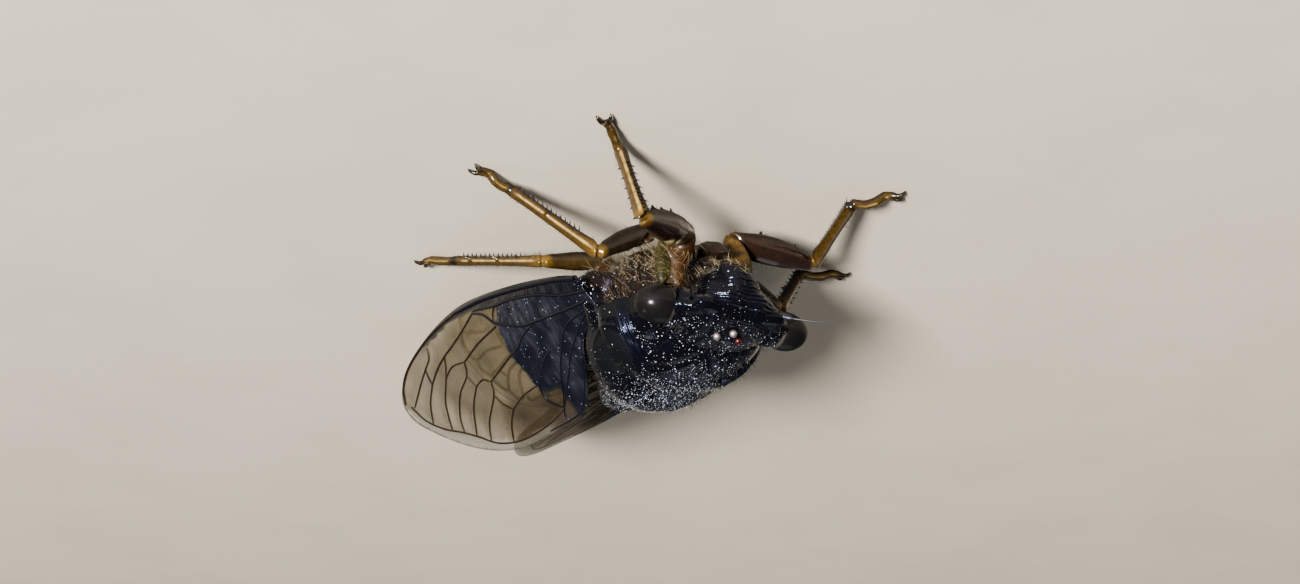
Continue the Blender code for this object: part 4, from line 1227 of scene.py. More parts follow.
@dataclass
class Trunk:
    """Thorax and abdomen under one skin, with their bloom and fur."""

    nodes: tuple[str, ...] = ("pronotum", "mesonotum", "thorax", "abdomen", "tail", "operculum_left",
                              "operculum_right")
    hinges: tuple[Swelling, ...] = ((4.25, 8.55, 5.7, (0.6, 0.75, 0.5)), (4.7, 8.35, 5.0, (0.85, 0.5, 0.36)),
                                    (4.0, 8.7, 6.4, (0.5, 0.8, 0.4)), (4.35, 8.1, 4.6, (0.8, 0.65, 0.5)),
                                    (5.25, 8.12, 5.0, (0.5, 0.42, 0.3)))
    furrows: tuple[Line, ...] = (((0.5, 4.5), (1.1, 5.4), (2.3, 6.5)), ((2.0, 4.4), (2.7, 5.2), (3.5, 5.9)),
                                 ((0.25, 4.2), (0.2, 6.0), (0.4, 7.0)),
                                 ((0.9, 8.6), (1.1, 10.0), (0.6, 11.6)),
                                 ((2.3, 8.8), (2.5, 10.5), (2.0, 12.4)))
    furrow_width: float = 0.3
    furrow_depth: float = 0.09
    collar: tuple[Place, ...] = ((4.3, 7.0, 6.2), (4.1, 6.8, 7.4), (3.6, 6.9, 8.4), (2.8, 7.3, 9.2),
                                 (1.9, 7.9, 9.6))
    roll_height: float = 0.05
    fold_count: int = 6
    first_fold: float = 0.82
    fold_step: float = 0.135
    fold_radius: float = 0.042
    lobe_centre: Place = (3.45, 7.75, 8.4)
    lobe_radii: Place = (1.4, 1.75, 1.3)
    lobe_edge: float = 0.04
    flake: Place = (3.75, 9.4, 5.0)
    flake_radius: float = 0.42

    def build(self) -> None:
        """Makes the skin and its hair."""
        hinges = [blob(side * x, y, z, radii) for _, side in SIDES for x, y, z, radii in self.hinges]
        skin = Skin("trunk_skin", self.nodes, "body_black", voxel=0.11, extra=hinges)
        shape = skin.build()
        found = self.regions(skin)
        self.relief(shape, found)
        bloom = self.paint(shape, found)
        skin.finish(SHELL)
        self.collar_folds(shape)
        self.coats(shape, found, bloom)

    def regions(self, skin: Skin) -> Regions:
        """Divides the skin into its regions.

        Args:
            skin: the trunk's skin before its relief.

        Returns:
            The regions.
        """
        shape, owner = skin.shape, skin.owners()
        edges = shape.edges()
        x, y, z = body_axes(shape.points)
        side, normals = np.abs(x), shape.normals()
        plate, below, tail = (averaged(np.isin(owner, numbers).astype(float), edges, 6)
                              for numbers in ((0, 1), (2, 5, 6), (3, 4)))
        (lobe_x, lobe_y, lobe_z), (long_x, long_y, long_z) = self.lobe_centre, self.lobe_radii
        lobe = np.sqrt(((side - lobe_x) / long_x) ** 2 + ((y - lobe_y) / long_y) ** 2
                       + ((z - lobe_z) / long_z) ** 2)
        places = np.stack((side, y, z), 1)
        fold = np.full(len(x), np.inf)
        for mark in curve_through(self.collar, 0.1):
            fold = np.minimum(fold, np.linalg.norm(places - mark, axis=1))
        hinge = ramp(side, 3.9, 4.15) * ramp(y, 7.6, 8.0) * ramp(7.2 - z, 0.0, 0.4) * ramp(z, 4.9, 5.3)
        hinge = np.maximum(hinge, ramp(side, 4.75, 5.0))
        bald = np.maximum(hinge, ramp(z, 6.0, 6.7) * ramp(y, 8.0, 8.7))
        return Regions(side, y, z, normals, plate, below, tail, ramp(normals[:, 2], 0.1, 0.8), lobe,
                       ramp(1.10 - lobe, 0.0, 0.28), fold, bald)

    def relief(self, shape: Shape, found: Regions) -> None:
        """Sinks the furrows, raises the lobe's edge and rolls the shell in front of the collar.

        Args:
            shape: the trunk's skin.
            found: its regions.
        """
        folds = sum(near_line(found.side, found.y, line, self.furrow_width) for line in self.furrows)
        shape.push(-self.furrow_depth * np.minimum(folds, 1.0) * found.plate * found.top)
        shape.push(self.lobe_edge * ramp(0.12 - np.abs(found.lobe - 1.03), 0.0, 0.12) * found.plate)
        roll = 1 + np.cos(pi * np.clip((found.fold - 1.1) / 0.55, -1.0, 1.0))
        shape.push(self.roll_height * roll * found.plate * ramp(6.9 - found.y, 0.0, 0.4))

    def paint(self, shape: Shape, found: Regions) -> np.ndarray:
        """Gives the skin the values that its finish reads.

        Args:
            shape: the trunk's skin.
            found: its regions.

        Returns:
            How much silver bloom the back carries at each point.
        """
        side, y, z, normals, plate = found.side, found.y, found.z, found.normals, found.plate
        brown = np.clip(found.below + found.tail * ramp(-normals[:, 2], -0.2, 0.5), 0.0, 1.0)
        shape.values["brown"] = brown * (1 - found.bald)
        cheek = ramp(found.fold, 0.5, 0.7) * ramp(1.75 - found.fold, 0.0, 0.3) * ramp(7.4 - y, 0.0, 0.5)
        shape.values["wrinkle"] = plate * (0.05 + 0.4 * cheek)
        shape.values["fold"] = found.fold
        lee = ramp(np.abs(normals[:, 0]), 0.55, 0.85) * ramp(y, 8.3, 8.9) * ramp(z, 5.8, 6.3)
        under = ramp(0.3 - normals[:, 2], 0.0, 0.35) * plate
        shape.values["dull"] = np.maximum.reduce((found.bare, 0.9 * lee, 0.75 * under))
        crest = ramp(2.9 - side, 0.0, 1.9) * ramp(y, 4.2, 7.6)
        bloom = plate * (0.08 + 0.92 * found.top) * (1 - 0.75 * found.bare) * (0.22 + 0.78 * crest)
        shape.values["bloom"] = np.clip(0.62 * bloom + 0.2 * found.tail + 0.10 * found.below, 0.0, 1.0)
        flake_x, flake_y, flake_z = self.flake
        green = np.sqrt((side - flake_x) ** 2 + (y - flake_y) ** 2 + (z - flake_z) ** 2)
        shape.values["pale"] = ramp(self.flake_radius - green, 0.0, 0.16)
        return bloom

    def coats(self, shape: Shape, found: Regions, bloom: np.ndarray) -> None:
        """Grows the bloom, the bristles, the side fur and the down.

        Args:
            shape: the trunk's finished skin.
            found: its regions.
            bloom: how much silver bloom the back carries at each point.
        """
        side, y, z, below, tail = found.side, found.y, found.z, found.below, found.tail
        back = lie_along(shape, (0.0, 1.0, -0.25))
        Fur("bloom", "body_black", SILVER, density=15.0, length=0.08, radius=0.010, rise=0.4, tangle=1.2,
            seed=11, segments=2).grow(shape, np.clip(bloom**1.5 + 0.15 * tail * found.top, 0, 1), back)
        spiky = found.plate * (0.2 + 0.8 * found.top) * (1 - ramp(z, 9.7, 10.1))
        Fur("bristles", "body_black", DARK_HAIR, density=7.0, length=0.36, radius=0.009, rise=2.0, tangle=0.6,
            seed=12).grow(shape, spiky, back)
        down = lie_along(shape, (0.0, 0.35, -1.0))
        clump = np.sin(5.2 * y + 2.1 * z) * np.sin(4.3 * z - 2.9 * y + 2.0 * side)
        flank = below * ramp(8.5 - z, 0.0, 2.0) * (1 - found.bald) * (0.3 + 0.7 * ramp(clump, -0.35, 0.2))
        Fur("side_fur", "underside_brown", RUSSET, density=34.0, length=0.5, radius=0.009, rise=0.6,
            tangle=1.7, bend=1.2, segments=4, seed=13).grow(shape, flank, down)
        Fur("side_gold", "underside_brown", GOLD, density=14.0, length=0.45, radius=0.006, rise=0.7,
            tangle=1.9, bend=1.5, segments=5, seed=15).grow(shape, flank, down)
        under = np.clip(tail + 0.4 * below, 0, 1) * (1 - found.bald)
        Fur("belly_down", "underside_brown", GOLD, density=12.0, length=0.2, radius=0.009, rise=0.3,
            tangle=0.8, seed=14, segments=2).grow(shape, under, lie_along(shape, (0.0, 1.0, 0.0)))

    def collar_folds(self, shape: Shape) -> None:
        """Fine raised folds that run side by side in front of the collar.

        Args:
            shape: the trunk's skin, which the folds lie on.
        """
        tree = BVHTree.FromPolygons(shape.points.tolist(), shape.faces.tolist())
        marks = curve_through(self.collar, 0.08)
        u = np.linspace(0.0, 1.0, len(marks))
        paths = []
        for _, side in SIDES:
            for number in range(self.fold_count):
                ahead = self.first_fold + self.fold_step * number + 0.03 * np.sin(2.4 * number + 8.0 * u)
                places = at(side * marks[:, 0], marks[:, 1] - ahead, marks[:, 2])
                line = np.array([tree.find_nearest(place.tolist())[0] for place in places.T])
                line = (line + np.roll(line, 1, axis=0) + np.roll(line, -1, axis=0))[1:-1] / 3
                width = np.sin(pi * np.clip(u[1:-1] * 1.1 - 0.02 * number, 0.02, 0.98)) ** 0.5
                paths.append((line, self.fold_radius * width))
        tubes("collar_folds", paths, FOLD, sides=8)


# Legs

@dataclass
class Leg:
    """One leg under a skin of its own, from hip to claws."""

    side: str
    place: str
    voxel: float = 0.055
    joints: tuple[str, ...] = ("coxa", "femur", "tibia", "tarsus")

    amber: Colour = (0.058, 0.033, 0.008)
    yellow: Colour = (0.118, 0.067, 0.014)
    dark: Colour = (0.009, 0.005, 0.003)
    # painted highlight: the pale line along shin and foot that stands for the lamp's glint
    painted_highlight: Colour = (0.50, 0.37, 0.15)
    olive: Colour = (0.024, 0.021, 0.003)
    rust: Colour = (0.040, 0.015, 0.0025)
    cap: Colour = (0.24, 0.21, 0.11)
    thighs: tuple[tuple[str, Colour], ...] = (("fore", (0.014, 0.0065, 0.004)),
                                              ("mid", (0.015, 0.009, 0.005)),
                                              ("hind", (0.040, 0.025, 0.009)))
    joint_radius: float = 0.3
    body_middle: Place = (0.0, 7.0, 4.0)
    # the painted highlight line lies on the side that faces this way: outward, forward and up
    glint_facing: Place = (0.42, -0.82, 0.39)
    # painted shade darkens the side of each part that faces this way: inward and down
    shade: Place = (-0.6, 0.0, -0.8)
    spine_rows: tuple[tuple[float, int, float], ...] = ((0.25, 14, 0.38), (-0.9, 8, 0.28), (2.2, 6, 0.24))
    spine_radius: float = 0.052

    def build(self) -> None:
        """Makes the leg's skin, its spines and its hair."""
        nodes = tuple(f"{joint}_{self.side}_{self.place}" for joint in self.joints)
        skin = Skin(f"leg_{self.side}_{self.place}", nodes, "amber", voxel=self.voxel, swell=0.0, rounds=7)
        parts = [solid(node) for node in nodes]
        balls = [self.ball(a, b) for a, b in zip(parts, parts[1:])]
        lobes = [blob(x, y, z, radii) for x, y, z, radii in self.lobes() + self.caps()]
        shape = remeshed(joined(parts + balls + lobes), self.voxel)
        shape.relax(skin.rounds)
        skin.shape = shape
        owner = nearest_parts(shape.points, parts)
        self.round_off(shape, owner)
        tint = averaged(self.tint(shape, parts, owner), shape.edges(), 3)
        # a painted highlight, a pale line along shin and foot, is mixed into the colour
        painted_light_streak = self.painted_light_streak(shape, parts, owner)[:, None]
        shape.values["tint"] = tint + (np.array(self.painted_highlight) - tint) * painted_light_streak
        shape.values["dull"] = self.matt(shape, owner)
        skin.finish(LEG)
        self.spines(parts[2])
        coat = np.select([owner == 0, owner == 1], [0.9, 0.5], 1.0) * ramp(shape.points[:, 2], 0.3, 0.7)
        way = parts[3].points.mean(0) - parts[2].points.mean(0)
        lie = lie_along(shape, way / np.linalg.norm(way))
        Fur(f"leg_hair_{self.side}_{self.place}", "amber", RUSSET, density=12.0, length=0.24, radius=0.009,
            rise=1.0, tangle=0.4, seed=21, segments=2).grow(shape, coat, lie)
        if lobes:
            near = ramp(3.1 - np.linalg.norm(shape.points - at(2.3, 3.9, 5.2), axis=1), 0.0, 1.2)
            lie = lie_along(shape, (0.0, 0.2, 1.0))
            Fur("hip_gold", "amber", GOLD, density=24.0, length=0.42, radius=0.006, rise=0.7, tangle=1.7,
                bend=1.4, segments=4, seed=22).grow(shape, near * (owner == 0), lie)

    def round_off(self, shape: Shape, owner: np.ndarray) -> None:
        """Rounds the thick hip and thigh where they are still flat between the edges of their solids.

        Args:
            shape: the leg's skin.
            owner: for each of its points, the number of the part beneath it.
        """
        edges = shape.edges()
        stout = averaged((owner < 2).astype(float), edges, 4)[:, None]
        smooth = averaged(shape.points, edges, 34, 0.5)
        shape.points = shape.points + (smooth - shape.points) * stout
        shape.push(0.035 * stout[:, 0])

    def caps(self) -> tuple[Swelling, ...]:
        """Two pale knobs where the left fore thigh meets its hip."""
        if (self.side, self.place) != ("left", "fore"):
            return ()
        return (3.86, 1.05, 5.08, (0.30, 0.22, 0.20)), (3.33, 1.26, 4.92, (0.24, 0.18, 0.15))

    def lobes(self) -> tuple[Swelling, ...]:
        """Swellings beside the hip that the leg's solids leave out."""
        if (self.side, self.place) != ("left", "fore"):
            return ()
        return (2.78, 3.8, 4.9, (0.42, 0.36, 1.35)), (1.95, 3.75, 5.1, (0.5, 0.42, 1.3))

    def matt(self, shape: Shape, owner: np.ndarray) -> np.ndarray:
        """Where the leg is matt: over the hip, its lobes and whatever faces the floor.

        Args:
            shape: the leg's skin.
            owner: for each of its points, the number of the part beneath it.

        Returns:
            How matt it is at each point, 0 to 1.
        """
        below = 0.95 * ramp(-shape.normals()[:, 2], 0.0, 0.5)
        found = np.maximum(0.7 * averaged((owner == 0).astype(float), shape.edges(), 4), below)
        for x, y, z, radii in self.lobes():
            far = np.linalg.norm((shape.points - at(x, y, z)) / np.array(radii), axis=1)
            found = np.maximum(found, 0.9 * ramp(1.3 - far, 0.0, 0.2))
        return averaged(found, shape.edges(), 6)

    def ball(self, a: Shape, b: Shape) -> Shape:
        """The joint between two parts of the leg, as a ball that fills the gap.

        Args:
            a: the part nearer the hip.
            b: the next part.

        Returns:
            The ball.
        """
        apart = np.linalg.norm(a.points[:, None] - b.points[None], axis=2)
        near = np.argwhere(apart < apart.min() + 0.25)
        middle = (a.points[near[:, 0]].mean(0) + b.points[near[:, 1]].mean(0)) / 2
        return ellipsoid(middle, (self.joint_radius,) * 3, 16, 10)

    def axis(self, part: Shape, before: np.ndarray) -> tuple[np.ndarray, np.ndarray]:
        """The middle of a part and its long direction, away from a place nearer the hip."""
        middle = part.points.mean(0)
        way = np.linalg.svd(part.points - middle, full_matrices=False)[2][0]
        return middle, way if (middle - before) @ way > 0 else -way

    def along(self, points: np.ndarray, part: Shape, before: np.ndarray) -> np.ndarray:
        """How far along a part each point lies, from 0 at the end that is nearer the hip to 1."""
        middle, way = self.axis(part, before)
        reach = (part.points - middle) @ way
        return np.clip(((points - middle) @ way - reach.min()) / np.ptp(reach), 0.0, 1.0)

    def spines(self, tibia: Shape) -> None:
        """Dark spines in rows along the shin.

        Args:
            tibia: the shin's solid.
        """
        middle, way = self.axis(tibia, at(*self.body_middle))
        reach = (tibia.points - middle) @ way
        down = np.array((0.0, 0.0, -1.0)) + way * way[2]
        down /= np.linalg.norm(down)
        aside = np.cross(way, down)
        tree = BVHTree.FromPolygons(tibia.points.tolist(), tibia.faces.tolist())
        paths = []
        for turn, count, size in self.spine_rows:
            face = down * cos(turn) + aside * sin(turn)
            for u in np.linspace(0.28, 0.93, count):
                start = middle + way * (reach.min() + np.ptp(reach) * u)
                hit = tree.ray_cast((start + face * 2.0).tolist(), (-face).tolist())[0]
                if hit is None:
                    continue
                root = np.array(hit) - face * 0.05
                lean = face * 0.8 + way * 0.6
                steps = np.linspace(0.0, 1.0, 4)[:, None]
                paths.append((root + lean * size * steps, self.spine_radius * (1.05 - steps[:, 0])))
        tubes(f"shin_spines_{self.side}_{self.place}", paths, DARK_VEIN, sides=5)

    def square_to(self, way: np.ndarray, face: Sequence[float]) -> np.ndarray:
        """A direction laid square to a part's length.

        Args:
            way: the part's long direction.
            face: the direction, as outward, backward and up.

        Returns:
            A unit vector.
        """
        outward = 1.0 if self.side == "left" else -1.0
        flat = np.array(face) * (outward, 1.0, 1.0)
        flat -= way * (way @ flat)
        return flat / np.linalg.norm(flat)

    def painted_light_streak(self, shape: Shape, parts: Sequence[Shape], owner: np.ndarray) -> np.ndarray:
        """How much of the painted highlight, a pale line along shin and foot, each point has.

        Args:
            shape: the leg's skin.
            parts: the leg's solids.
            owner: for each of its points, the number of the part beneath it.

        Returns:
            The line's strength at each point, 0 to 1.
        """
        normals = shape.normals()
        found = np.zeros(len(shape.points))
        for number, most in ((2, 0.6), (3, 0.35)):
            before = parts[number - 1].points.mean(0)
            way = self.axis(parts[number], before)[1]
            u = self.along(shape.points, parts[number], before)
            # the painted highlight falls where the surface faces the glint's direction
            glint_facing = ramp(normals @ self.square_to(way, self.glint_facing), 0.965, 0.995)
            line = most * glint_facing * ramp(u, 0.04, 0.12) * ramp(0.94 - u, 0.0, 0.08)
            found = np.where(owner == number, line, found)
        return found

    def tint(self, shape: Shape, parts: Sequence[Shape], owner: np.ndarray) -> np.ndarray:
        """The leg's colour, with painted shade on the side of each part that faces inward and down.

        Args:
            shape: the leg's skin.
            parts: the leg's solids.
            owner: for each of its points, the number of the part beneath it.

        Returns:
            The colour at each point.
        """
        colour = np.tile(np.array(self.amber), (len(shape.points), 1))
        normals = shape.normals()
        before = at(*self.body_middle)
        for number, part in enumerate(parts):
            u = self.along(shape.points, part, before)
            way = self.axis(part, before)[1]
            # painted shade: darker where the surface faces inward and down
            shade = ramp(normals @ self.square_to(way, self.shade), -0.15, 0.7)
            here = owner == number
            colour[here] = self.part_tint(number, u, shade)[here]
            before = part.points.mean(0)
        swellings = self.lobes() + self.caps()
        for (x, y, z, radii), new in zip(swellings, (self.olive, self.rust, self.cap, self.cap)):
            far = np.linalg.norm((shape.points - at(x, y, z)) / np.array(radii), axis=1)
            colour += (np.array(new) - colour) * ramp(1.25 - far, 0.0, 0.2)[:, None]
        return colour

    def part_tint(self, number: int, u: np.ndarray, shade: np.ndarray) -> np.ndarray:
        """The colour of one part of the leg, with painted shade.

        Args:
            number: 0 for the hip, 1 for the thigh, 2 for the shin, 3 for the foot.
            u: how far along the part each point lies, 0 to 1.
            shade: how much painted shade each point gets, as it faces inward and down, 0 to 1.

        Returns:
            The colour at each point.
        """
        amber, yellow, dark = (np.array(c) for c in (self.amber, self.yellow, self.dark))
        if number == 0:
            hip = amber * 1.5 if (self.side, self.place) == ("right", "fore") else np.array(self.rust)
            return hip + (amber - hip) * ramp(u, 0.86, 0.97)[:, None]
        if number == 1:
            thigh = np.array(dict(self.thighs)[self.place])
            ends = np.maximum(ramp(u, 0.86, 0.92), 0.4 * ramp(0.08 - u, 0.0, 0.08))
            # painted shade darkens the thigh's inward, lower side
            brown = thigh * 1.5 + (dark - thigh * 1.5) * (0.8 * shade)[:, None]
            return brown + (yellow - brown) * ends[:, None]
        if number == 2:
            # painted shade: a dark band down the shin's inward, lower side, with the real dark ring at its
            # end
            painted_light_streak = 0.85 * shade * ramp(u, 0.03, 0.12)
            new = yellow + (amber - yellow) * ramp(u, 0.0, 0.25)[:, None]
            return new + (dark - new) * np.maximum(painted_light_streak, ramp(u, 0.95, 0.98))[:, None]
        ends = np.maximum(ramp(u, 0.66, 0.84), ramp(0.07 - u, 0.0, 0.05))
        # painted shade on the foot's inward, lower side, and its real dark ends
        return amber + (dark - amber) * np.maximum(0.7 * shade, ends)[:, None]


@dataclass
class Beak:
    """The piercing beak folded back under the head."""

    colour: Colour = (0.016, 0.008, 0.004)
    dull: float = 0.9
    voxel: float = 0.06
    rounds: int = 8

    def build(self) -> None:
        """Makes the beak's skin."""
        skin = Skin("beak", ("rostrum",), "chestnut", voxel=self.voxel, swell=0.0, rounds=self.rounds)
        shape = skin.build()
        shape.values["tint"] = np.tile(self.colour, (len(shape.points), 1))
        shape.values["dull"] = np.full(len(shape.points), self.dull)
        skin.finish(LEG)


# Wings

class WingKind(Enum):
    """Which of a side's two wings."""

    FORE = "forewing"
    HIND = "hindwing"


@dataclass
class WingSurface:
    """The curved sheet that a side's wings lie in, addressed by distance along and across the wing."""

    base: Place = (4.55, 8.3, 6.0)
    drop: float = 7.6
    tilt: float = 42.0
    twist: float = 0.3
    curl: float = 0.10

    def points(self, places: np.ndarray, lift: np.ndarray | float, side: int) -> np.ndarray:
        """Places on the sheet.

        Args:
            places: rows of distance toward the tip and distance from the leading edge up to the midline.
            lift: height above the sheet's middle.
            side: 1 for the left wing, -1 for the right.

        Returns:
            Points in the row frame.
        """
        s, t = places[:, 0], places[:, 1]
        drop = radians(self.drop)
        tilt = np.radians(self.tilt + self.twist * s)
        along = np.array((0.0, cos(drop), -sin(drop)))
        across = np.stack((-np.cos(tilt), np.sin(tilt) * sin(drop), np.sin(tilt) * cos(drop)), 1)
        out = np.cross(along, across)
        front = np.minimum(t, 0.0)
        lean = out - across * (2 * self.curl * front)[:, None]
        lean /= np.linalg.norm(lean, axis=1, keepdims=True)
        spot = (np.array(self.base) + along * s[:, None] + across * t[:, None]
                - out * (self.curl * front**2)[:, None] + lean * np.broadcast_to(lift, len(s))[:, None])
        return np.stack((spot[:, 0] * side + MIDLINE, spot[:, 1] + FACE, spot[:, 2]), 1)


@dataclass
class Wing:
    """One wing: a thin film carried by a net of veins."""

    kind: WingKind
    word: str
    side: int
    edge: Line
    veins: Sequence[tuple[float, Line]]
    depth: float
    film: Finish
    stout: float = 1.0
    thickness: float = 0.06
    spacing: float = 0.24
    sag: float = 0.10
    dark_reach: float = 10.3
    rail_radius: float = 0.15
    surface: WingSurface = field(default_factory=WingSurface)

    def build(self) -> None:
        """Makes the film and the veins."""
        paths = [(radius, curve_through(knots, 0.2)) for radius, knots in self.veins]
        rim = curve_through(list(self.edge) + [self.edge[0]], 0.24)[:-1]
        places, faces = self.net(rim, [p for _, p in paths])
        near = self.distance(places, np.vstack([p for _, p in paths]))
        border = self.distance(places, rim)
        lift = -self.depth - self.sag * ramp(near, 0.0, 0.9) * ramp(border, 0.0, 0.5)
        half = self.thickness / 2
        top = self.surface.points(places, lift + half, self.side)
        under = self.surface.points(places, lift - half, self.side)
        count = len(places)
        loop = [(i, (i + 1) % len(rim)) for i in range(len(rim))]
        walls = [tri for a, b in loop for tri in ((a, b, b + count), (a, b + count, a + count))]
        upper = np.array(faces)
        sheets = [upper, upper[:, ::-1] + count, np.array(walls)[:, ::-1]]
        shape = Shape(np.vstack((top, under)), np.vstack(sheets))
        if self.side < 0:
            shape.faces = shape.faces[:, ::-1]
        for key, values in self.marks(places, border).items():
            shape.values[key] = np.concatenate((values, values))
        sheet = np.column_stack((places, np.full(count, 7.0 * self.side)))
        shape.values["sheet"] = np.vstack((sheet, sheet))
        nodes = (f"{self.kind.value}_{self.word}",)
        finished(f"{self.kind.value}_film_{self.word}", shape.mesh("film", MM), nodes,
                 self.film.material())
        self.vein_pieces(paths)

    def net(self, rim: np.ndarray, paths: Sequence[np.ndarray]) -> tuple[np.ndarray, list]:
        """Even triangles inside the wing's outline.

        Args:
            rim: the outline.
            paths: the veins; not used.

        Returns:
            Places of the points, those of the outline first, and the triangles.
        """
        low, high = rim.min(0), rim.max(0)
        rows = []
        for j, t in enumerate(np.arange(low[1], high[1], self.spacing * 0.87)):
            start = low[0] + (j % 2) * self.spacing / 2
            rows += [(s, t) for s in np.arange(start, high[0], self.spacing)]
        grid = np.array(rows)
        grid = grid[self.inside(grid, rim) & (self.distance(grid, rim) > 0.45 * self.spacing)]
        verts = [Vector(p) for p in rim] + [Vector(p) for p in grid]
        loop = [(i, (i + 1) % len(rim)) for i in range(len(rim))]
        found = delaunay_2d_cdt(verts, loop, [], 1, 1e-4)
        return np.array([tuple(v) for v in found[0]]), [tuple(f) for f in found[2]]

    @staticmethod
    def inside(points: np.ndarray, loop: np.ndarray) -> np.ndarray:
        """Which points lie inside a closed line.

        Args:
            points: places on the sheet.
            loop: the line's places in order.

        Returns:
            True for each point inside.
        """
        hit = np.zeros(len(points), bool)
        for a, b in zip(loop, np.roll(loop, -1, axis=0)):
            crosses = (a[1] > points[:, 1]) != (b[1] > points[:, 1])
            if a[1] != b[1]:
                hit ^= crosses & (points[:, 0] < a[0] + (points[:, 1] - a[1]) * (b[0] - a[0]) / (b[1] - a[1]))
        return hit

    @staticmethod
    def distance(points: np.ndarray, marks: np.ndarray) -> np.ndarray:
        """Distance from each point to the nearest mark.

        Args:
            points: places on the sheet.
            marks: the places measured to.

        Returns:
            The distances.
        """
        out = np.empty(len(points))
        for start in range(0, len(points), 2000):
            part = points[start:start + 2000]
            out[start:start + 2000] = np.sqrt(((part[:, None] - marks[None]) ** 2).sum(2).min(1))
        return out

    def marks(self, places: np.ndarray, border: np.ndarray) -> dict[str, np.ndarray]:
        """Where the film is dark, banded and pale, and where shadow is painted on it.

        Args:
            places: points of the film.
            border: their distance from the outline.

        Returns:
            The attributes smoke, band, rim and strap, and the painted shadow.
        """
        s, t = places[:, 0], places[:, 1]
        if self.kind is WingKind.HIND:
            none = np.zeros(len(s))
            return {"smoke": 0.6 * ramp(7.0 - s, 0.0, 2.0), "band": none, "rim": ramp(0.5 - border, 0, 0.3),
                    "strap": none, "painted_shadow": none}
        reach = 11.0 - 0.12 * (t - 0.9) ** 2
        open_cell = ramp(t, 3.3, 3.6) * ramp(s, 8.2, 8.7)
        smoke = ramp(reach - s, -0.08, 0.08) * (1 - open_cell)
        inner = np.interp(s, (-1.2, 2.1, 4.7, 7.8, 10.0, 13.0, 16.6, 20.5, 24.0, 27.4),
                          (-0.7, -1.1, -1.7, -2.05, -2.2, -2.5, -2.6, -2.0, -0.8, 0.6))
        band = ramp(inner - t, -0.06, 0.06) * ramp(23.5 - s, 0.0, 5.0)
        pale = np.interp(s, (9.0, 12.0, 16.0, 20.0, 24.0, 27.0), (4.4, 5.1, 5.35, 4.45, 3.0, 0.9))
        rim = ramp(t - pale, -0.05, 0.1) * ramp(s, 10.0, 12.5)
        strap = ramp(t - pale, -0.1, 0.1) * ramp(12.5 - s, 0.0, 2.5) * (1 - smoke)
        # painted shadow toward the trailing corner, where the wing's own shadow and the hind wing lie beneath
        painted_shadow = 0.9 * ramp(t, 2.2, 4.0) * ramp(19.0 - s, 0.0, 5.0) * (1 - rim)
        return {"smoke": smoke, "band": band, "rim": rim, "strap": strap, "painted_shadow": painted_shadow}

    def vein_pieces(self, paths: Sequence[tuple[float, np.ndarray]]) -> None:
        """The net of veins, brown on the clear film and black on the dark base.

        Args:
            paths: each vein's radius and places.
        """
        brown, black = [], []
        for radius, path in paths:
            points = self.surface.points(path, -self.depth, self.side)
            along = np.linspace(0, 1, len(path))
            taper = radius * self.stout * np.interp(along, (0.0, 0.8, 1.0), (1.0, 1.0, 0.75))
            inner = path[:, 0] < self.dark_reach
            cut = int(inner.sum())
            dark = path[:, 0].mean() < self.dark_reach or radius > self.rail_radius
            if self.kind is WingKind.FORE and dark:
                black.append((points, taper))
            elif self.kind is WingKind.FORE and cut > 1 and inner[:cut].all():
                black.append((points[:cut], taper[:cut]))
                brown.append((points[cut - 1:], taper[cut - 1:]))
            else:
                brown.append((points, taper))
        clear = VEIN if self.kind is WingKind.FORE else HIND_VEIN
        for name, found, finish in (("veins", brown, clear), ("base_veins", black, DARK_VEIN)):
            if found:
                tubes(f"{self.kind.value}_{name}_{self.word}", found, finish)


# Outline of each wing: distance toward the tip, and across from the leading edge
FOREWING_EDGE = ((-0.2, -1.65), (2.2, -2.1), (6.3, -2.6), (11.5, -3.0), (15.6, -3.05), (19.8, -2.55),
                 (23.7, -1.6), (26.1, -0.5), (27.4, 0.6), (27.1, 1.8), (25.5, 2.9), (23.6, 3.9),
                 (21.6, 4.75), (19.3, 5.4), (16.4, 5.8), (12.3, 5.7), (8.4, 5.4), (6.4, 4.5),
                 (4.6, 3.0), (3.0, 1.6), (1.4, 0.9), (-0.5, 0.6))
HINDWING_EDGE = ((2.6, -0.7), (6.0, -1.6), (11.5, -2.2), (15.5, -2.3), (17.4, -1.6), (18.1, -0.2),
                 (17.8, 1.2), (16.9, 2.6), (15.4, 3.7), (12.5, 4.4), (8.9, 4.6), (6.7, 3.6),
                 (5.2, 2.0), (4.0, 0.5), (2.6, 0.1))
FINE, MIDDLE, STOUT, RAIL = 0.06, 0.075, 0.095, 0.17

